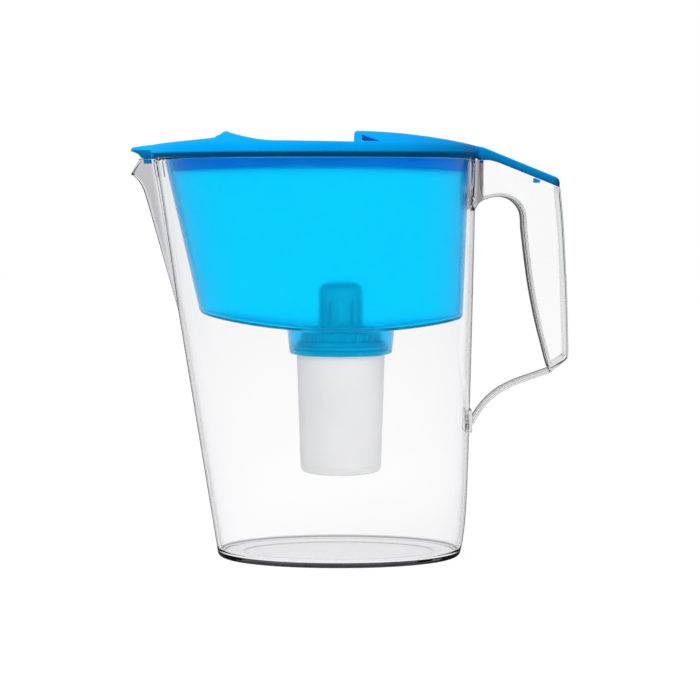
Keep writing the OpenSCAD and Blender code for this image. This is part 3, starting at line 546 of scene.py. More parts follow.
# %% The reservoir's rows
FRONT_GAP, REAR_GAP, SIDE_GAP = 4.5, 2, 2.3
FRONT_DRAW, REAR_DRAW, SIDE_DRAW = 6.7, 1.6, 7
DEPTH, SAG, EDGE_TILT, WALL, ROUND = 93.6, 7.4, 3, 1.8, 2.6
CARTRIDGE_X, BODY_RADIUS = 0.75, 26.7
COLLAR, SOCKET_WALL, HOLE = BODY_RADIUS + 2.1, 2, BODY_RADIUS + 0.6
SOCKET_FOOT = COLLAR + SEAT_GAP + 0.1 + SOCKET_WALL
SOCKET_TOP = SOCKET_FOOT + 1.2
EDGE_SIDE = RIM - DEPTH - SAG
SOCKET_TOP_Z = EDGE_SIDE - 1.5
SOCKET_FOOT_Z = SOCKET_TOP_Z - 15.2
FLANGE_Z = RIM + SEAT_GAP
FLANGE_TOP = FLANGE_Z + 2
AROUND = 192
angles = np.linspace(0, 2 * math.pi, AROUND, endpoint=False)


def shell_row(z, inset):
    z = z + np.zeros_like(angles)
    depth = np.maximum(0, RIM - z) / DEPTH
    ring = oval(front_x(z) + JUG_WALL + FRONT_GAP + FRONT_DRAW * depth + inset,
                rear_x(z) - JUG_WALL - REAR_GAP - REAR_DRAW * depth - inset,
                side_y(z) - JUG_WALL - SIDE_GAP - SIDE_DRAW * depth - inset, angles)
    return np.column_stack([*ring, z])


def edge_z():
    return EDGE_SIDE + SAG * np.cos(angles) ** 2 - EDGE_TILT * (1 + np.cos(angles)) / 2


def round_row(degrees, radius, inset, lift):
    a = math.radians(degrees)
    return shell_row(edge_z() + lift + radius * (1 - math.sin(a)),
                     inset + radius * (1 - math.cos(a)))


def circle_row(radius, z):
    x, y = CARTRIDGE_X + radius * np.cos(angles), radius * np.sin(angles)
    return np.column_stack([x, y, np.full_like(x, z)])


def between(first, last, shares):
    return [first * (1 - s) + last * s for s in shares]


def rim_row(inset, z):
    x, y = oval(front_x(RIM) + inset, rear_x(RIM) - inset, side_y(RIM) - inset, angles)
    return np.column_stack([x, y, np.full_like(x, z)])


levels = np.linspace(0, 1, 15)
rows = [rim_row(1.1, FLANGE_TOP - 0.3), rim_row(1.1, FLANGE_Z + 0.3), rim_row(1.4, FLANGE_Z)]
rows += [shell_row(FLANGE_Z, -0.8), shell_row(FLANGE_Z - 0.2, -0.2)]
rows += [shell_row(FLANGE_Z - 1 + (edge_z() + ROUND - FLANGE_Z + 1) * s, 0) for s in levels]
rows += [round_row(d, ROUND, 0, 0) for d in (18, 36, 54, 72, 90)]
rows += between(rows[-1], circle_row(SOCKET_TOP + 0.6, SOCKET_TOP_Z), (0.25, 0.5, 0.75, 1))
rows += [circle_row(radius, z) for radius, z in [
    (SOCKET_TOP, SOCKET_TOP_Z - 0.8), (SOCKET_FOOT, SOCKET_FOOT_Z + 1.5),
    (SOCKET_FOOT - 0.3, SOCKET_FOOT_Z + 0.5), (SOCKET_FOOT - 1.4, SOCKET_FOOT_Z),
    (HOLE + 0.2, SOCKET_FOOT_Z), (HOLE, SOCKET_FOOT_Z + 0.2), (HOLE, SOCKET_FOOT_Z + 1.8),
    (HOLE + 0.2, SOCKET_FOOT_Z + SOCKET_WALL), (SOCKET_FOOT - 2.2, SOCKET_FOOT_Z + SOCKET_WALL),
    (SOCKET_FOOT - SOCKET_WALL, SOCKET_FOOT_Z + 2.2),
    (SOCKET_TOP - SOCKET_WALL, SOCKET_TOP_Z + WALL - 0.6)]]
rows += between(circle_row(SOCKET_TOP - 1.6, SOCKET_TOP_Z + WALL),
                round_row(90, ROUND - 0.8, WALL, WALL), (0, 0.25, 0.5, 0.75, 1))
rows += [round_row(d, ROUND - 0.8, WALL, WALL) for d in (72, 54, 36, 18)]
rows += [shell_row(edge_z() + WALL + ROUND + (FLANGE_TOP - 0.4 - edge_z() - WALL - ROUND) * s,
                   WALL) for s in levels]
rows += [shell_row(FLANGE_TOP, WALL - 0.3), rim_row(1.4, FLANGE_TOP)]
reservoir = skin("reservoir_shell", rows, loop_rows=True)
smooth(reservoir, 40)
dress(reservoir, "reservoir", "aqua_plastic", "reservoir")

# %% [markdown]
# ## The lid
# The lid is a shallow bowl turned over, with a beak over the spout and a tongue over the
# handle. Its top line rises from the beak to a ridge, falls to the flat land beside the
# flap, steps up to the hood and slopes away over the tongue. It is lofted from front to
# back: every row is one cross-section, out over the top, down to the foot and back along
# the underside.

# %% The lid's top line and plan
OVERHANG, EDGE_H, LAND_H, CREST_H = 2.8, 3.6, 9.2, 15.3
TIP_H, DECK_H, RIDGE, HOOD = 6.6, 11.4, 66, 8.8
LID_WALL, BEAK_HALF, BEAK_SIDE, BEAK_ROOF = 2.2, 15, RIM + 5.1, 8.5
TIP_X, LAND, CREST = LIP_X, RIM + LAND_H, RIM + CREST_H
LID_FOOT = RIM + SEAT_GAP
FRONT, REAR_END = front_x(RIM), float(rear_x(RIM))


def mix(a, b, t):
    return a + (b - a) * t


deck = RIM + DECK_H
RIDGE_ROUND, HOOD_ROUND, END_ROUND = 3.2, 2, 4
front_line = curve_through([
    (TIP_X + 3.6, RIM + TIP_H + 0.5),
    (mix(TIP_X, -RIDGE, 0.24), mix(RIM + TIP_H, deck, 0.34)),
    (mix(TIP_X, -RIDGE, 0.61), mix(RIM + TIP_H, deck, 0.7)),
    (-RIDGE - 8, deck), (-RIDGE - 5.4, mix(deck, CREST, 0.3)),
    (-RIDGE - RIDGE_ROUND * math.cos(math.radians(30)),
     CREST - RIDGE_ROUND * (1 - math.sin(math.radians(30))))])
ridge_arc = arc(-RIDGE, CREST - RIDGE_ROUND, RIDGE_ROUND, 9, 140, 50)
fall = [(-RIDGE + 3 + 27 * s, mix(LAND + 0.4, CREST - 1, (1 - s) ** 1.8))
        for s in np.linspace(0.12, 1, 12)]
hood_arc = arc(HOOD + HOOD_ROUND, CREST - HOOD_ROUND, HOOD_ROUND, 8, 178, 90)
hood_line = [(mix(HOOD + HOOD_ROUND, TONGUE_START, s), mix(CREST, RIM + 6.6, s ** 1.75))
             for s in np.linspace(0.1, 1, 14)]
end_arc = arc(TONGUE_END - END_ROUND, tongue_z(TONGUE_END) - 3.6, END_ROUND, 9, 70, 2)
top_line = np.vstack([
    [(TIP_X, RIM + TIP_H - 1.4), (TIP_X + 0.3, RIM + TIP_H - 0.5), (TIP_X + 1, RIM + TIP_H)],
    front_line, ridge_arc, fall, [(HOOD - 0.25, LAND - 0.3), (HOOD, LAND + 0.1)],
    hood_arc, hood_line, end_arc])
assert np.all(np.diff(top_line[:, 0]) > 0), "the top line runs from front to back"
foot_line = np.array([
    (TIP_X - 1, RIM + 5.2), (TIP_X + 4.8, RIM + 2.8), (TIP_X + 6.9, LID_FOOT),
    (REAR + 1.9, LID_FOOT), (REAR + 2, RIM - 0.5), (REAR + 8.2, RIM - 0.9),
    (REAR + 12.8, tongue_z(REAR + 12.8) - TONGUE_DEPTH + 0.5),
    (TONGUE_END, tongue_z(TONGUE_END) - TONGUE_DEPTH)])
side_profile = curve_through([(OVERHANG, RIM + EDGE_H + 0.2), (1.2, RIM + EDGE_H + 3.4),
                              (-1, LAND + 0.15), (-5.4, CREST - 2.3), (-9.5, CREST + 1)])


def beak_width(x):
    nose = [(TIP_X + 6 - 6 * math.cos(a), 5.4 * math.sin(a)) for a in turn(9, 0, 60)]
    outline = np.array(nose + [(FRONT + 2, BEAK_HALF), (FRONT + 16, BEAK_HALF * 1.35)])
    return np.interp(x, outline[:, 0], outline[:, 1], right=0)


def tongue_width(x):
    corner = np.clip(x - (TONGUE_END - END_ROUND), 0, END_ROUND)
    half = HANDLE_HALF - END_ROUND + np.sqrt(END_ROUND ** 2 - corner ** 2)
    return np.where(x > HOOD + 30, half, 0)


def lid_oval(x, out):
    return oval_half(FRONT - out, REAR_END + out, SIDE + out, x)


print("top line of", len(top_line), "points")

# %% [markdown]
# The height of the top at a place is the lower of two surfaces: the top line, and the
# bowl's side, which rises with the distance from the edge. The beak has a roof of its own,
# and the tongue has steep sides with rounded edges.

# %% One cross-section of the lid
EDGE_STEPS = np.array([0, 0.12, 0.35, 0.7, 1.1, 1.6, 2.2, 3, 4, 5.2, 6.6, 8.2, 10, 12])
offsets = np.linspace(OVERHANG, -14, 120)
SIDE_ROUND = 1.2


def lid_height(x, y, top_z, narrow):
    """Height of the outer surface. narrow is the half width of the beak or the tongue."""
    widths = lid_oval(x, offsets)
    inside = np.interp(y, widths[::-1], offsets[::-1])
    bowl = np.interp(-inside, -side_profile[:, 0], side_profile[:, 1])
    bowl = np.where(y <= widths[0] + 1e-6, bowl, 0)
    near = np.clip((narrow - y) / SIDE_ROUND, 0, 1)
    drop = SIDE_ROUND * (1 - np.sqrt(1 - (1 - near) ** 2))
    steep = np.where(y <= narrow + 1e-6, top_z - drop, 0)
    if x < 0 < narrow:
        steep = np.minimum(steep, BEAK_SIDE + BEAK_ROOF * np.maximum(0, 1 - y / narrow))
    return np.minimum(top_z, np.maximum(bowl, steep))


def lid_section(x):
    """Half of a cross-section, from the middle of the top to the middle of the underside."""
    top_z = np.interp(x, top_line[:, 0], top_line[:, 1])
    foot = np.interp(x, foot_line[:, 0], foot_line[:, 1])
    bowl, narrow = float(lid_oval(x, OVERHANG)), float(max(beak_width(x), tongue_width(x)))
    if bowl < 0.4:
        narrow = max(narrow, 0.4)
    wide = max(bowl, narrow)
    steps = EDGE_STEPS * min(1, wide / 18)
    y = np.r_[np.linspace(0, wide - steps[-1], 14, endpoint=False), wide - steps[::-1]]
    outer = np.stack([y, lid_height(x, y, top_z, narrow)], axis=1)
    edge = outer[-1, 1]
    if bowl >= narrow:
        low_wide = float(lid_oval(x, 0.5))
        side = [(wide, RIM + EDGE_H - 0.7), (max(low_wide, narrow), LID_FOOT + 0.1)]
        inner_wide = max(float(lid_oval(x, -0.8)), narrow - LID_WALL)
    elif x < 0:
        slope = np.clip((RIM + 4.8 - foot) / 5, 0, 1)
        side = [(wide, min(edge, RIM + 4.8)), (max(0.2, wide - 3.4 * slope), foot + 0.05)]
        inner_wide = max(0.1, wide - 3.4 * slope - 1.6)
    else:
        side = [(wide, foot + 0.5), (wide - 0.25, foot + 0.05)]
        inner_wide = wide - LID_WALL
    side = [(a, min(b, edge)) for a, b in side]
    inner_y = inner_wide * np.r_[1, 1, 0.985, np.linspace(0.96, 0, 12)]
    inner_z = lid_height(x, np.minimum(inner_y + 0.6, wide), top_z, narrow) - LID_WALL
    inner_z[0] = foot
    inner_z[1] = min(inner_z[1], FLANGE_TOP + SEAT_GAP) if bowl >= narrow else inner_z[1]
    inner = np.stack([inner_y, np.maximum(foot, inner_z)], axis=1)
    return np.vstack([outer, side, [(side[-1][0] - 0.05, foot)], inner])


stations = np.unique(np.concatenate([
    top_line[:, 0], foot_line[1:-1, 0], np.arange(TIP_X + 2, TONGUE_END - 1, 1.5),
    np.linspace(FRONT - OVERHANG, FRONT + 3, 9), np.linspace(REAR - 3, REAR + 4, 8)]).round(3))
stations = stations[np.r_[True, np.diff(stations) > 0.05]]
rows = []
for x in stations:
    half = lid_section(x)
    whole = np.vstack([half, (half * [-1, 1])[-2:0:-1]])
    rows.append(np.column_stack([np.full(len(whole), x), whole]))
lid = skin("lid_shell", rows)
print("lid", len(stations), "sections of", len(rows[0]), "points")

# %% [markdown]
# ## The dish for the flap
# The flap lies in a dish that is round in front and square at the hinge, with a hole in its
# floor for the water. Its opening is cut out of the shell with a prism, and the dish itself
# is a loop of rows: down its wall, in over the floor, through the hole and back outside.

# %% The dish and its hole
DISH_HALF, DISH_FRONT, DISH_FLOOR, DISH_MIDDLE = 38, 60.5, RIM + 4.2, -18
HOLE_MIDDLE = mix(-DISH_FRONT, HOOD, 0.5) - 1
HOLE_LENGTH, HOLE_WIDTH = 27, 27


def dish_outline(inset, points=49):
    reach = DISH_FRONT + DISH_MIDDLE - inset
    x, y = oval(DISH_MIDDLE - reach, DISH_MIDDLE + reach, DISH_HALF - inset,
                turn(points, 90, 270))
    rear = HOOD - inset
    along = np.linspace(0, 1, 13)[1:]
    lower = [(mix(x[-1], rear, s), y[-1]) for s in along]
    behind = [(rear, mix(y[-1], y[0], s)) for s in along]
    upper = [(mix(rear, x[0], s), y[0]) for s in along[:-1]]
    return np.vstack([np.column_stack([x, y]), lower, behind, upper])


def at_height(outline, z):
    return np.column_stack([outline, z + np.zeros(len(outline))])


def lid_top(x, y):
    top_z = np.interp(x, top_line[:, 0], top_line[:, 1])
    return float(lid_height(x, np.array([abs(y)]), top_z, 0)[0])


outline = dish_outline(0)
spokes = np.arctan2(outline[:, 1] / HOLE_WIDTH, (outline[:, 0] - HOLE_MIDDLE) / HOLE_LENGTH)
hole = np.column_stack(oval(HOLE_MIDDLE - HOLE_LENGTH, HOLE_MIDDLE + HOLE_LENGTH,
                            HOLE_WIDTH, spokes))
brim = np.array([min(lid_top(x, y), LAND + 3) - 0.5 if x < HOOD - 0.5 else LAND - 0.8
                 for x, y in outline])
around_outline = dish_outline(-LID_WALL)
dish = skin("dish", [at_height(ring, z) for ring, z in [
    (around_outline, brim), (outline, brim), (outline, DISH_FLOOR + 0.5),
    (dish_outline(0.5), DISH_FLOOR), (hole, DISH_FLOOR), (hole, DISH_FLOOR - LID_WALL),
    (around_outline, DISH_FLOOR - LID_WALL)]], loop_rows=True)
cutter = skin("dish_cutter", [at_height(dish_outline(0.01), z) for z in (RIM - 9, RIM + 30)])
cut(lid, cutter)
print("dish", len(dish.data.polygons), "faces")

# %% [markdown]
# ## The hood's windows, the plug skirt and the pegs
# A small three-cornered window opens low down on each side of the hood. Inside the
# reservoir hangs the plug skirt, arched along its lower edge, and three pegs keep the lid
# in place: in the spout, behind the rim and in the grip.

# %% Windows, skirt and pegs
SKIRT_DEPTH, SKIRT_ARCH, SKIRT_WALL, PEG_DEPTH = 8.25, 4.2, 1.6, 2.8
for side in (-1, 1):
    corners = [(HOOD + 4.5, LAND), (HOOD + 15, LAND), (HOOD + 4.5, LAND + 3.7)]
    wedge = skin("wedge", [[(x, y, z) for x, z in corners]
                           for y in (side * (DISH_HALF + LID_WALL + 1), side * 80)])
    cut(lid, wedge)


def skirt_row(inset, at_foot):
    row = shell_row(RIM - SKIRT_DEPTH, WALL + 0.6 + inset)
    share = (row[:, 0] - FRONT) / (REAR_END - FRONT) * 2 - 1
    row[:, 2] = RIM - SKIRT_DEPTH + SKIRT_ARCH * (1 - share ** 2) if at_foot else RIM + 4.4
    return row


skirt = skin("skirt", [skirt_row(0, False), skirt_row(0, True), skirt_row(0.3, True) - [0, 0, 0.2],
                       skirt_row(SKIRT_WALL - 0.3, True) - [0, 0, 0.2],
                       skirt_row(SKIRT_WALL, True), skirt_row(SKIRT_WALL, False)], loop_rows=True)
peg_foot, peg_top, peg_x = RIM - PEG_DEPTH, RIM + 4.6, REAR + ROOT + 0.3
tip_z = tongue_z(TONGUE_END - 13)
pegs = [
    block("peg", (FRONT - 5.2, -4.5, peg_foot), (FRONT - 0.9, 4.5, peg_top)),
    block("peg", (peg_x, -6, peg_foot), (peg_x + LID_WALL, 6, peg_top)),
    block("peg", (TONGUE_END - 15, -4, tip_z - TONGUE_DEPTH - PEG_DEPTH),
          (TONGUE_END - 11.3, 4, tip_z - 1.2))]
lid = joined("lid_shell", [lid, dish, skirt, *pegs])
tidy(lid, 0.002 * MM)
smooth(lid, 38)
dress(lid, "lid", "blue_plastic", "lid")

# %% [markdown]
# ## The flap
# A plate in the dish's outline with a rib under its edge, a finger tab in front and a
# hinge barrel behind, whose pins turn in the dish's walls.

# %% The flap
FLAP_TOP, FLAP_THICKNESS, FLAP_FIT = LAND - 1.4, 2, 0.6
BARREL, PINS = 2, 1.2
HINGE_X = HOOD - 1.4 - BARREL
HINGE_Z = FLAP_TOP - FLAP_THICKNESS / 2


def plan_before(rear, inset):
    """The dish's outline, drawn in and cut off straight behind."""
    ring = dish_outline(FLAP_FIT + inset)
    ring[:, 0] = np.minimum(ring[:, 0], rear)
    return ring


plan, inner_plan = plan_before(HINGE_X, 0), plan_before(HINGE_X, 0.5)
centre = np.array([-25, 0])
rows = [at_height(centre + (inner_plan - centre) * s, FLAP_TOP + 0.25 * (1 - s ** 2))
        for s in (0.02, 0.35, 0.7, 0.9, 0.99)]
rows += [at_height(plan, FLAP_TOP - 0.35), at_height(plan, FLAP_TOP - FLAP_THICKNESS + 0.3)]
rows += [at_height(centre + (inner_plan - centre) * s, FLAP_TOP - FLAP_THICKNESS)
         for s in (0.99, 0.5, 0.02)]
plate = skin("flap_plate", rows)
rib_top, rib_foot = FLAP_TOP - 1.5, FLAP_TOP - FLAP_THICKNESS - 1.2
rib = skin("rib", [at_height(plan_before(HINGE_X - 6 - inset, 2 + inset), z) for inset, z in [
    (0, rib_top), (0, rib_foot + 0.2), (0.3, rib_foot), (1.3, rib_foot), (1.6, rib_foot + 0.2),
    (1.6, rib_top)]], loop_rows=True)


def rod(name, radius, half, round_off=0.3):
    """A cylinder along Y with rounded ends, at the hinge."""
    rod_angles = turn(41, 0, 360)[:-1]
    rings = [(0.05, half), (radius - round_off, half), (radius, half - round_off),
             (radius, -half + round_off), (radius - round_off, -half), (0.05, -half)]
    return skin(name, [[(HINGE_X + r * math.cos(a), y, HINGE_Z + r * math.sin(a))
                        for a in rod_angles] for r, y in rings])


tab_x = -DISH_FRONT + FLAP_FIT + 2
tab = skin("tab", [[(tab_x + x, y, FLAP_TOP - 0.5 + z) for x, z in [
    (0, 0), (1.2, 2.4), (1.6, 2.65), (2.2, 2.65), (2.8, 2.4), (4.4, 1.4), (6, 0.2)]]
    for y in (-9, -8.6, 8.6, 9)])
flap = joined("flap_shell", [plate, rib, tab, rod("barrel", BARREL, DISH_HALF - FLAP_FIT),
                             rod("pins", PINS, DISH_HALF - FLAP_FIT + 2.4)])
tidy(flap, 0.002 * MM)
smooth(flap, 38)
dress(flap, "flap", "blue_plastic", "flap")

# %% [markdown]
# ## The cartridge
# Four turned shapes, each a circle extruded from ring to ring: the tapered cup with the
# collar that seats in the socket, the base with its slots, the cap with its ribbed grip
# ring and intake dome, and the sealing ring.

# %% The cup and the seal
SEAL_HEIGHT, COLLAR_HEIGHT, BODY_LENGTH, BODY_FOOT = 1.5, 2, 67.8, 24.6
BASE_HEIGHT, CUP_WALL = 4.3, 1.6
SEAL_Z = SOCKET_FOOT_Z + SOCKET_WALL + SEAT_GAP
COLLAR_Z = SEAL_Z + SEAL_HEIGHT
CAP_Z = COLLAR_Z + COLLAR_HEIGHT
BODY_FOOT_Z = SOCKET_FOOT_Z - BODY_LENGTH
BASE_Z = BODY_FOOT_Z - BASE_HEIGHT
BORE = BODY_RADIUS - CUP_WALL
cup = ring_stack("cartridge_cup", [
    (BODY_FOOT - CUP_WALL, BODY_FOOT_Z), (BODY_FOOT - 0.25, BODY_FOOT_Z),
    (BODY_FOOT, BODY_FOOT_Z + 0.25),
    (mix(BODY_FOOT, BODY_RADIUS, 0.5), mix(BODY_FOOT_Z, SOCKET_FOOT_Z, 0.5)),
    (BODY_RADIUS, SOCKET_FOOT_Z), (BODY_RADIUS, COLLAR_Z - 0.2), (BODY_RADIUS + 0.2, COLLAR_Z),
    (COLLAR - 0.2, COLLAR_Z), (COLLAR, COLLAR_Z + 0.2), (COLLAR, CAP_Z - 0.2),
    (COLLAR - 0.2, CAP_Z), (BORE, CAP_Z), (BORE, SOCKET_FOOT_Z)],
    join_ends=True, centre=CARTRIDGE_X)
smooth(cup, 40)
dress(cup, "cartridge", "white_plastic", "cartridge_body")
middle = (SEAL_Z + COLLAR_Z) / 2
seal = ring_stack("sealing_ring", [
    (BODY_RADIUS + 0.05, SEAL_Z + 0.1)] + [
    (COLLAR - 0.6 + 0.6 * math.cos(a), middle + 0.7 * math.sin(a)) for a in turn(9, -90, 90)] + [
    (BODY_RADIUS + 0.05, COLLAR_Z - 0.1)], join_ends=True, centre=CARTRIDGE_X)
smooth(seal, 60)
dress(seal, "cartridge", "seal_rubber", "cartridge_seal")

# %% [markdown]
# The base's slots and the dome's slots are cut with thin blocks set in a circle. Each block
# is modelled once and copied, and the copies are turned about the cartridge's axis.

# %% The base and the cap
def around_axis(piece, count):
    """Copies of a piece, turned about the cartridge's axis, as one mesh."""
    copies = [piece]
    for k in range(1, count):
        clear_selection()
        copy = piece.copy()
        copy.data = piece.data.copy()
        bpy.context.scene.collection.objects.link(copy)
        edit(copy)
        bpy.ops.transform.rotate(value=2 * math.pi * k / count, orient_axis="Z",
                                 center_override=(CARTRIDGE_X * MM, 0, 0))
        bpy.ops.object.mode_set(mode="OBJECT")
        copies.append(copy)
    return joined(piece.name, copies)


SLOTS, SLOT_HALF, RIBS = 12, 0.8, 48
PLUG = BODY_FOOT - CUP_WALL
base = ring_stack("cartridge_foot", [
    (0.1, BASE_Z), (12, BASE_Z), (BODY_FOOT - 2, BASE_Z), (BODY_FOOT - 1.3, BASE_Z + 0.25),
    (BODY_FOOT - 0.8, BASE_Z + 0.8), (BODY_FOOT - 0.45, BASE_Z + 1.8),
    (BODY_FOOT - 0.05, BODY_FOOT_Z - 0.3), (BODY_FOOT - 0.3, BODY_FOOT_Z), (PLUG, BODY_FOOT_Z),
    (PLUG, BODY_FOOT_Z + 2.6), (PLUG - 1.4, BODY_FOOT_Z + 2.6), (PLUG - 1.4, BASE_Z + 1.6),
    (0.1, BASE_Z + 1.6)], centre=CARTRIDGE_X)
slot_block = block("slots", (CARTRIDGE_X + 8, -SLOT_HALF, BASE_Z - 1),
                   (CARTRIDGE_X + PLUG - 4, SLOT_HALF, BASE_Z + 3), 0.4, 2)
cut(base, around_axis(slot_block, SLOTS))
smooth(base, 35)
dress(base, "cartridge", "white_plastic", "cartridge_base")

CAP_LIP, GRIP_HEIGHT, DOME_HEIGHT, CAP_WALL, DOME_ROUND = 2.8, 5.4, 28.6, 1.6, 5
GRIP_R, DOME, GRIP_FOOT = 24.4, 13, CAP_Z + CAP_LIP
GRIP_TOP = GRIP_FOOT + GRIP_HEIGHT
DOME_TOP = GRIP_TOP + DOME_HEIGHT
inner = DOME_ROUND - CAP_WALL
dome_round = arc(DOME - DOME_ROUND, DOME_TOP - DOME_ROUND, DOME_ROUND, 9)
inner_round = arc(DOME - CAP_WALL - inner, DOME_TOP - DOME_ROUND, inner, 7, 90, 0)
cap = ring_stack("cartridge_cap_shell", [
    (BORE, CAP_Z - 3), (BORE, CAP_Z), (BODY_RADIUS, CAP_Z), (BODY_RADIUS, GRIP_FOOT - 0.4),
    (BODY_RADIUS - 0.4, GRIP_FOOT), (GRIP_R - 0.8, GRIP_FOOT), (GRIP_R - 0.8, GRIP_TOP - 0.5),
    (GRIP_R - 1.3, GRIP_TOP), (DOME + 0.8, GRIP_TOP + 0.5), (DOME, GRIP_TOP + 1.4),
    *dome_round, (0.1, DOME_TOP), (0.1, DOME_TOP - CAP_WALL), *inner_round,
    (DOME - CAP_WALL, GRIP_TOP - CAP_WALL), (GRIP_R - 2.4, GRIP_TOP - CAP_WALL),
    (GRIP_R - 2.4, CAP_Z - 3)], join_ends=True, centre=CARTRIDGE_X)
slot_block = block("slots", (CARTRIDGE_X + DOME - 2.6, -SLOT_HALF, GRIP_TOP + 4),
                   (CARTRIDGE_X + DOME + 1.4, SLOT_HALF, GRIP_TOP + 18.6), 0.4, 2)
cut(cap, around_axis(slot_block, SLOTS))
rib_block = block("ribs", (CARTRIDGE_X + GRIP_R - 1.6, -0.6, GRIP_FOOT - 0.2),
                  (CARTRIDGE_X + GRIP_R, 0.6, GRIP_TOP - 0.6), 0.3, 2)
cap = joined("cartridge_cap_shell", [cap, around_axis(rib_block, RIBS)])
smooth(cap, 35)
dress(cap, "cartridge", "white_plastic", "cartridge_cap")
bpy.data.objects.remove(wall_cutter)

# %% [markdown]
# ## Tools for materials
# Colours are written as they show on a screen, and one function turns them to the linear
# values that the shader wants. Another adds a node with its settings and its links, so a
# material reads as a list of what it's made of.

# %% Helpers for materials
WANDER_MM, RELIEF_MM = 35, 0.1


def linear(code, alpha=1.0):
    channels = [int(code[i:i + 2], 16) / 255 for i in (1, 3, 5)]
    return [c / 12.92 if c <= 0.04045 else ((c + 0.055) / 1.055) ** 2.4 for c in channels] + [alpha]


def put(tree, node, inputs):
    """An input gets a value, a colour's code, or a link from the socket given for it."""
    for key, value in inputs.items():
        if isinstance(value, bpy.types.NodeSocket):
            tree.links.new(value, node.inputs[key])
        else:
            node.inputs[key].default_value = linear(value) if isinstance(value, str) else value


def add(tree, kind, inputs=None, **settings):
    """A node with its settings and its inputs."""
    node = tree.nodes.new(kind)
    for key, value in settings.items():
        setattr(node, key, value)
    put(tree, node, inputs or {})
    return node


def place_in(tree, space="Object"):
    return add(tree, "ShaderNodeTexCoord").outputs[space]


def calculate(tree, operation, *values, kind="ShaderNodeMath"):
    return add(tree, kind, dict(enumerate(values)), operation=operation).outputs["Value"]


def graded(tree, value, start_at, end_at, first=1.0, last=0.0):
    """A number that goes from first to last while the value passes between two limits."""
    node = add(tree, "ShaderNodeMapRange", {"Value": value, "From Min": start_at,
                                            "From Max": end_at, "To Min": first, "To Max": last})
    return node.outputs["Result"]


def start(name):
    """A new material with a Principled shader."""
    material = bpy.data.materials.new(name)
    material.use_nodes = True
    return material, material.node_tree, material.node_tree.nodes["Principled BSDF"]


def coat(material, *pieces):
    for piece in pieces:
        piece.data.materials.clear()
        piece.data.materials.append(material)
    print(material.name, "on", [piece.name for piece in pieces])


def ramp(tree, factor, *stops):
    """A colour ramp. A stop is (position, colour's code)."""
    node = add(tree, "ShaderNodeValToRGB", {"Fac": factor})
    stops = [(position, linear(code)) for position, code in stops]
    first, last = node.color_ramp.elements
    (first.position, first.color), (last.position, last.color) = stops[0], stops[-1]
    for position, colour in stops[1:-1]:
        node.color_ramp.elements.new(position).color = colour
    return node.outputs["Color"]


def edge_tint(tree, *stops):
    """A tint that changes as the surface turns away from the eye."""
    edge_on = add(tree, "ShaderNodeLayerWeight", {"Blend": 0.5})
    return ramp(tree, edge_on.outputs["Facing"], *stops)


def moulded(tree, shader, grain_mm, depth, low, high):
    """Slight unevenness of a moulded surface: a fine bump and a roughness that wanders."""
    place = place_in(tree)
    fine, wide = [add(tree, "ShaderNodeTexNoise", {
        "Vector": place, "Scale": 1 / (size_mm * MM), "Detail": detail}).outputs["Fac"]
        for size_mm, detail in ((grain_mm, 2.0), (WANDER_MM, 1.0))]
    bump = add(tree, "ShaderNodeBump", {
        "Height": fine, "Strength": depth, "Distance": RELIEF_MM * MM})
    put(tree, shader, {"Roughness": graded(tree, wide, 0.3, 0.7, low, high),
                       "Normal": bump.outputs["Normal"]})
    return wide


def plastic(name, grain_mm, depth, roughness, dark, light, inputs=None):
    """A plastic that no light goes through, with a colour that wanders between two shades."""
    material, tree, shader = start(name)
    wide = moulded(tree, shader, grain_mm, depth, *roughness)
    put(tree, shader, {"Base Color": ramp(tree, wide, (0.35, dark), (0.65, light)),
                       **(inputs or {})})
    return material


# %% [markdown]
# ## Clear plastic
# The jug and its handle are styrene acrylonitrile, injection moulded in a polished tool:
# clear as glass, with an index of refraction of 1.57. Looked at edge on, the light has a
# long way through the plastic, which is why every outline is grey. The shader has no such
# length, so the tint deepens where the surface turns away from the eye. The spout gets a
# painted shade: the lid's shadow over it and the darker room seen through its folded walls.
# The foot's rim is darker, partly for its thick plastic and partly as painted shade where it
# meets the floor. The upper part of the handle, from its root back, gets a darker tint of
# its own. Each of these is picked out by its place on the piece.

# %% Clear plastic
SPOUT_PAINTED_SHADE, ROOT_TINT, FOOT_TINT_AND_SHADE = "#E2E2E4", "#B4AEB0", "#7E7E88"
clear, tree, shader = start("clear_san_moulded")
tint = edge_tint(tree, (0.0, "#FFFFFF"), (0.6, "#FCFCFE"), (0.8, "#DADADD"), (0.92, "#8A8A8E"),
                 (1.0, "#3C3C40"))
spot = add(tree, "ShaderNodeSeparateXYZ", {"Vector": place_in(tree)})
x, z = spot.outputs["X"], spot.outputs["Z"]
# Painted shade on the spout: the lid's shadow over it and the darker room seen through its folded
# walls.
spout_shade = graded(tree, calculate(tree, "MULTIPLY_ADD", z, LEAN, x),
               -(BASE_FRONT + 2) * MM, -(BASE_FRONT - 1) * MM)
normal = add(tree, "ShaderNodeNewGeometry").outputs["Normal"]
facing = add(tree, "ShaderNodeSeparateXYZ", {"Vector": normal})
# The foot's rim, its upright faces below 4 mm, is darkened: partly for its thick plastic, partly as
# painted shade where it meets the floor.
upright = graded(tree, calculate(tree, "ABSOLUTE", facing.outputs["Z"]), 0.5, 0.95)
foot = calculate(tree, "MULTIPLY", upright, graded(tree, z, 2.4 * MM, 4 * MM))
behind = calculate(tree, "GREATER_THAN", x, (REAR + 0.1) * MM)
high = calculate(tree, "GREATER_THAN", z, (ARCH_Z + 9) * MM)
root = calculate(tree, "MULTIPLY", graded(tree, x, (REAR + 3.4) * MM, (REAR + 4.4) * MM), behind)
root = calculate(tree, "MULTIPLY", root, high)
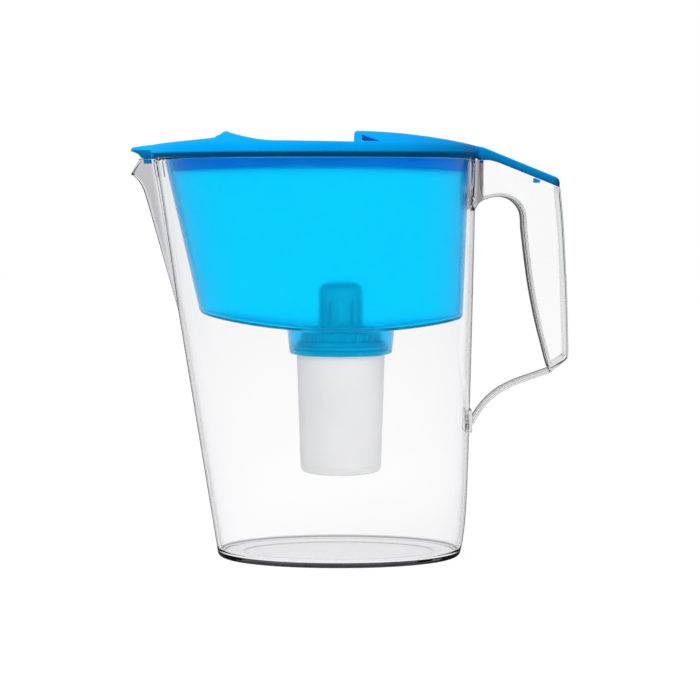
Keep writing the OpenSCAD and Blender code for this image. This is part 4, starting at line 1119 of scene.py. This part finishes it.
# The tints multiply in: the handle's upper part, the spout's painted shade, and the foot's rim with
# its painted shade.
for share, colour in ((root, ROOT_TINT), (spout_shade, SPOUT_PAINTED_SHADE), (foot, FOOT_TINT_AND_SHADE)):
    tint = add(tree, "ShaderNodeMixRGB", {"Fac": share, "Color1": tint, "Color2": colour},
               blend_type="MULTIPLY").outputs["Color"]
depth = add(tree, "ShaderNodeVolumeAbsorption", {"Color": "#5A5A60", "Density": 18.0})
put(tree, tree.nodes["Material Output"], {"Volume": depth.outputs["Volume"]})
put(tree, shader, {"Base Color": tint, "Transmission Weight": 1.0, "IOR": 1.57,
                   "Specular Tint": "#484848"})
moulded(tree, shader, 9, 0.06, 0.0, 0.03)
coat(clear, jug, handle)

# %% [markdown]
# ## Translucent blue plastic
# The reservoir is the same kind of plastic with a blue dye. Nearly all of the light goes
# through it and takes its colour. A faint glow of its own stands in for the light that is
# scattered in the wall.

# %% Translucent blue plastic
aqua, tree, shader = start("aqua_san_moulded")
tint = edge_tint(tree, (0.0, "#00E9FF"), (0.6, "#00E2FF"), (0.85, "#00BEF8"), (1.0, "#0088D8"))
put(tree, shader, {"Base Color": tint, "Transmission Weight": 0.99, "IOR": 1.4,
                   "Specular Tint": "#285A80", "Emission Color": "#0090FF",
                   "Emission Strength": 0.04})
moulded(tree, shader, 7, 0.08, 0.18, 0.24)
coat(aqua, reservoir)

# %% [markdown]
# ## Plastics that no light goes through
# Lid and flap are blue polypropylene, injection moulded with a satin finish: a full colour
# and a soft highlight. The cartridge is white polypropylene with a fine matt finish from an
# etched tool, and its sealing ring is pale silicone.

# %% Blue plastic, white plastic and the seal
blue = plastic("blue_polypropylene_moulded", 0.9, 0.12, (0.36, 0.44), "#00A1F6", "#00A8FA", {
    "IOR": 1.49, "Specular IOR Level": 0.12, "Specular Tint": "#3C8CC8"})
coat(blue, lid, flap)
white = plastic("white_polypropylene_matt", 0.8, 0.2, (0.45, 0.55), "#ECECED", "#F1F1F2", {
    "IOR": 1.49})
coat(white, cup, base, cap)
coat(plastic("silicone_moulded", 1.2, 0.15, (0.5, 0.6), "#C9CDD0", "#D2D5D8"), seal)

# %% [markdown]
# ## The filter's filling
# It can only be seen through the slots. The meshes are woven polyester with threads about
# a quarter of a millimetre apart, the upper bed is crushed coconut carbon with grains of
# about a millimetre, and the lower bed is resin in beads of about 0.7 mm.

# %% Meshes, carbon and resin
# Low parts of each pattern are painted darker: painted shade in the gaps between threads and
# between grains.
def relief_with_painted_shade(tree, shader, height, low, high, deep_mm, rough, invert=False):
    """A pattern that shows as relief and in its colour, its low parts painted darker as painted
    shade.
    """
    bump = add(tree, "ShaderNodeBump", {"Height": height, "Distance": deep_mm * MM},
               invert=invert)
    put(tree, shader, {"Base Color": ramp(tree, height, low, high), "Roughness": rough,
                       "Normal": bump.outputs["Normal"]})


def grains(name, size_mm, dark, light, rough):
    material, tree, shader = start(name)
    cells = add(tree, "ShaderNodeTexVoronoi", {
        "Vector": place_in(tree), "Scale": 1 / (size_mm * MM)})
    relief_with_painted_shade(tree, shader, cells.outputs["Distance"], (0.1, light), (0.7, dark), 0.3 * size_mm,
           rough, invert=True)
    return material


THREAD_MM, BANDS = 0.5, 0.314
polyester, tree, shader = start("polyester_woven")
place = place_in(tree)
waves = [add(tree, "ShaderNodeTexWave", {"Vector": place, "Scale": BANDS / (THREAD_MM * MM)},
             bands_direction=axis).outputs["Fac"] for axis in "XY"]
relief_with_painted_shade(tree, shader, calculate(tree, "MAXIMUM", *waves), (0.2, "#B9BCBF"), (0.7, "#F2F2F3"),
       RELIEF_MM, 0.8)
coat(polyester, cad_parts["inlet_mesh"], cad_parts["outlet_mesh"])
carbon = grains("coconut_carbon_crushed", 1.0, "#0B0B0C", "#2A2A2C", 0.7)
coat(carbon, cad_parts["carbon_bed"])
resin = grains("resin_beads", 0.7, "#5E3A12", "#C08A3C", 0.3)
coat(resin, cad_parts["resin_bed"])

# %% [markdown]
# ## Floor, light and background
# The pitcher stands on a pale floor before a white background. What the eye sees of both,
# directly or through clear plastic, is plain white, and a mirror image of them counts for
# a twentieth of that. The light that falls on the object is soft: strong from above, weaker
# from the sides and weakest from below, as under a large lamp above a table, with one broad
# lamp above the camera that shows in no reflection. Light that has to pass the jug's wall
# first would mostly get lost, so what stands inside gathers it from the background instead.
# That light is brightest in front, like the lamp, and a little under white behind.

# %% Floor and background
MIRRORED, FROM_FRONT = 0.05, (0.16, -0.99, 0)
FLOOR_WHITE, WORLD_WHITE = 0.96, 1.0
LIGHT_BEHIND, FLOOR_FRONT, WORLD_FRONT = 0.9, 2.1, 2.5
LIGHT_LEVEL, LIGHT_ABOVE = 0.08, 0.4
clear_selection()
bpy.ops.mesh.primitive_plane_add(size=8, location=(0, 0, -0.2 * MM))
floor = named("floor")
floor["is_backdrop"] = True


def seen(tree):
    """1 where the eye looks, also through clear plastic, and 0 for light on the object."""
    path = add(tree, "ShaderNodeLightPath").outputs
    direct = calculate(tree, "MAXIMUM", path["Is Camera Ray"], path["Is Transmission Ray"])
    mirrored = calculate(tree, "MULTIPLY", path["Is Glossy Ray"], MIRRORED)
    return calculate(tree, "MAXIMUM", direct, mirrored)


def whiteness(tree, place, start_at, end_at, plain, front):
    """The background's brightness, with that of the light which the jug's inside gathers."""
    path = add(tree, "ShaderNodeLightPath").outputs
    inside = calculate(tree, "GREATER_THAN", path["Diffuse Depth"], 0.5)
    ahead = calculate(tree, "DOT_PRODUCT", place, FROM_FRONT, kind="ShaderNodeVectorMath")
    return add(tree, "ShaderNodeMix", {
        "Factor": inside, "A": plain,
        "B": graded(tree, ahead, start_at, end_at, LIGHT_BEHIND, front)}).outputs["Result"]


paper, tree, shader = start("pale_floor")
white_floor = whiteness(tree, place_in(tree), -0.05, 0.3, FLOOR_WHITE, FLOOR_FRONT)
put(tree, shader, {"Base Color": "#5C5C5C", "Roughness": 0.9, "Specular IOR Level": 0.0,
                   "Emission Color": "#FFFFFF",
                   "Emission Strength": calculate(tree, "MULTIPLY", seen(tree), white_floor)})
coat(paper, floor)

world = bpy.data.worlds.new("studio")
bpy.context.scene.world = world
world.use_nodes = True
tree = world.node_tree
tree.nodes.clear()
place = place_in(tree, "Generated")
up = add(tree, "ShaderNodeSeparateXYZ", {"Vector": place}).outputs["Z"]
strengths = [graded(tree, up, 0.0, 0.6, LIGHT_LEVEL, LIGHT_ABOVE),
             whiteness(tree, place, 0.0, 1.0, WORLD_WHITE, WORLD_FRONT)]
light, plain = [add(tree, "ShaderNodeBackground", {"Color": "#FFFFFF", "Strength": strength})
                for strength in strengths]
mixed = add(tree, "ShaderNodeMixShader", {
    "Fac": seen(tree), 1: light.outputs["Background"], 2: plain.outputs["Background"]})
add(tree, "ShaderNodeOutputWorld", {"Surface": mixed.outputs["Shader"]})


def lamp(name, place, aim, size, power):
    data = bpy.data.lights.new(name, "AREA")
    data.shape, data.size, data.size_y, data.energy = "RECTANGLE", size[0], size[1], power
    bulb = bpy.data.objects.new(name, data)
    bpy.context.scene.collection.objects.link(bulb)
    bulb.location = place
    direction = Vector(aim) - Vector(place)
    bulb.rotation_euler = direction.to_track_quat("-Z", "Y").to_euler()
    bulb.visible_glossy = bulb.visible_transmission = False
    return bulb


lamp("front_lamp", (-0.8, -0.65, 1.5), (0, 0, 0.2), (1.2, 0.9), 28)
print("background white, light soft")

# %% [markdown]
# ## The picture's settings and the sizes
# Colours show as they are written with the Standard view. Last, the sizes of the frame and
# of the dressed model are written down next to each other.

# %% Settings and sizes
bpy.context.scene.view_settings.view_transform = "Standard"
clear_selection()
visual_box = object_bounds()
for label, (low, high) in (("frame", frame_box), ("visual", visual_box)):
    print(label, [round(v / MM, 2) for v in low], [round(v / MM, 2) for v in high])
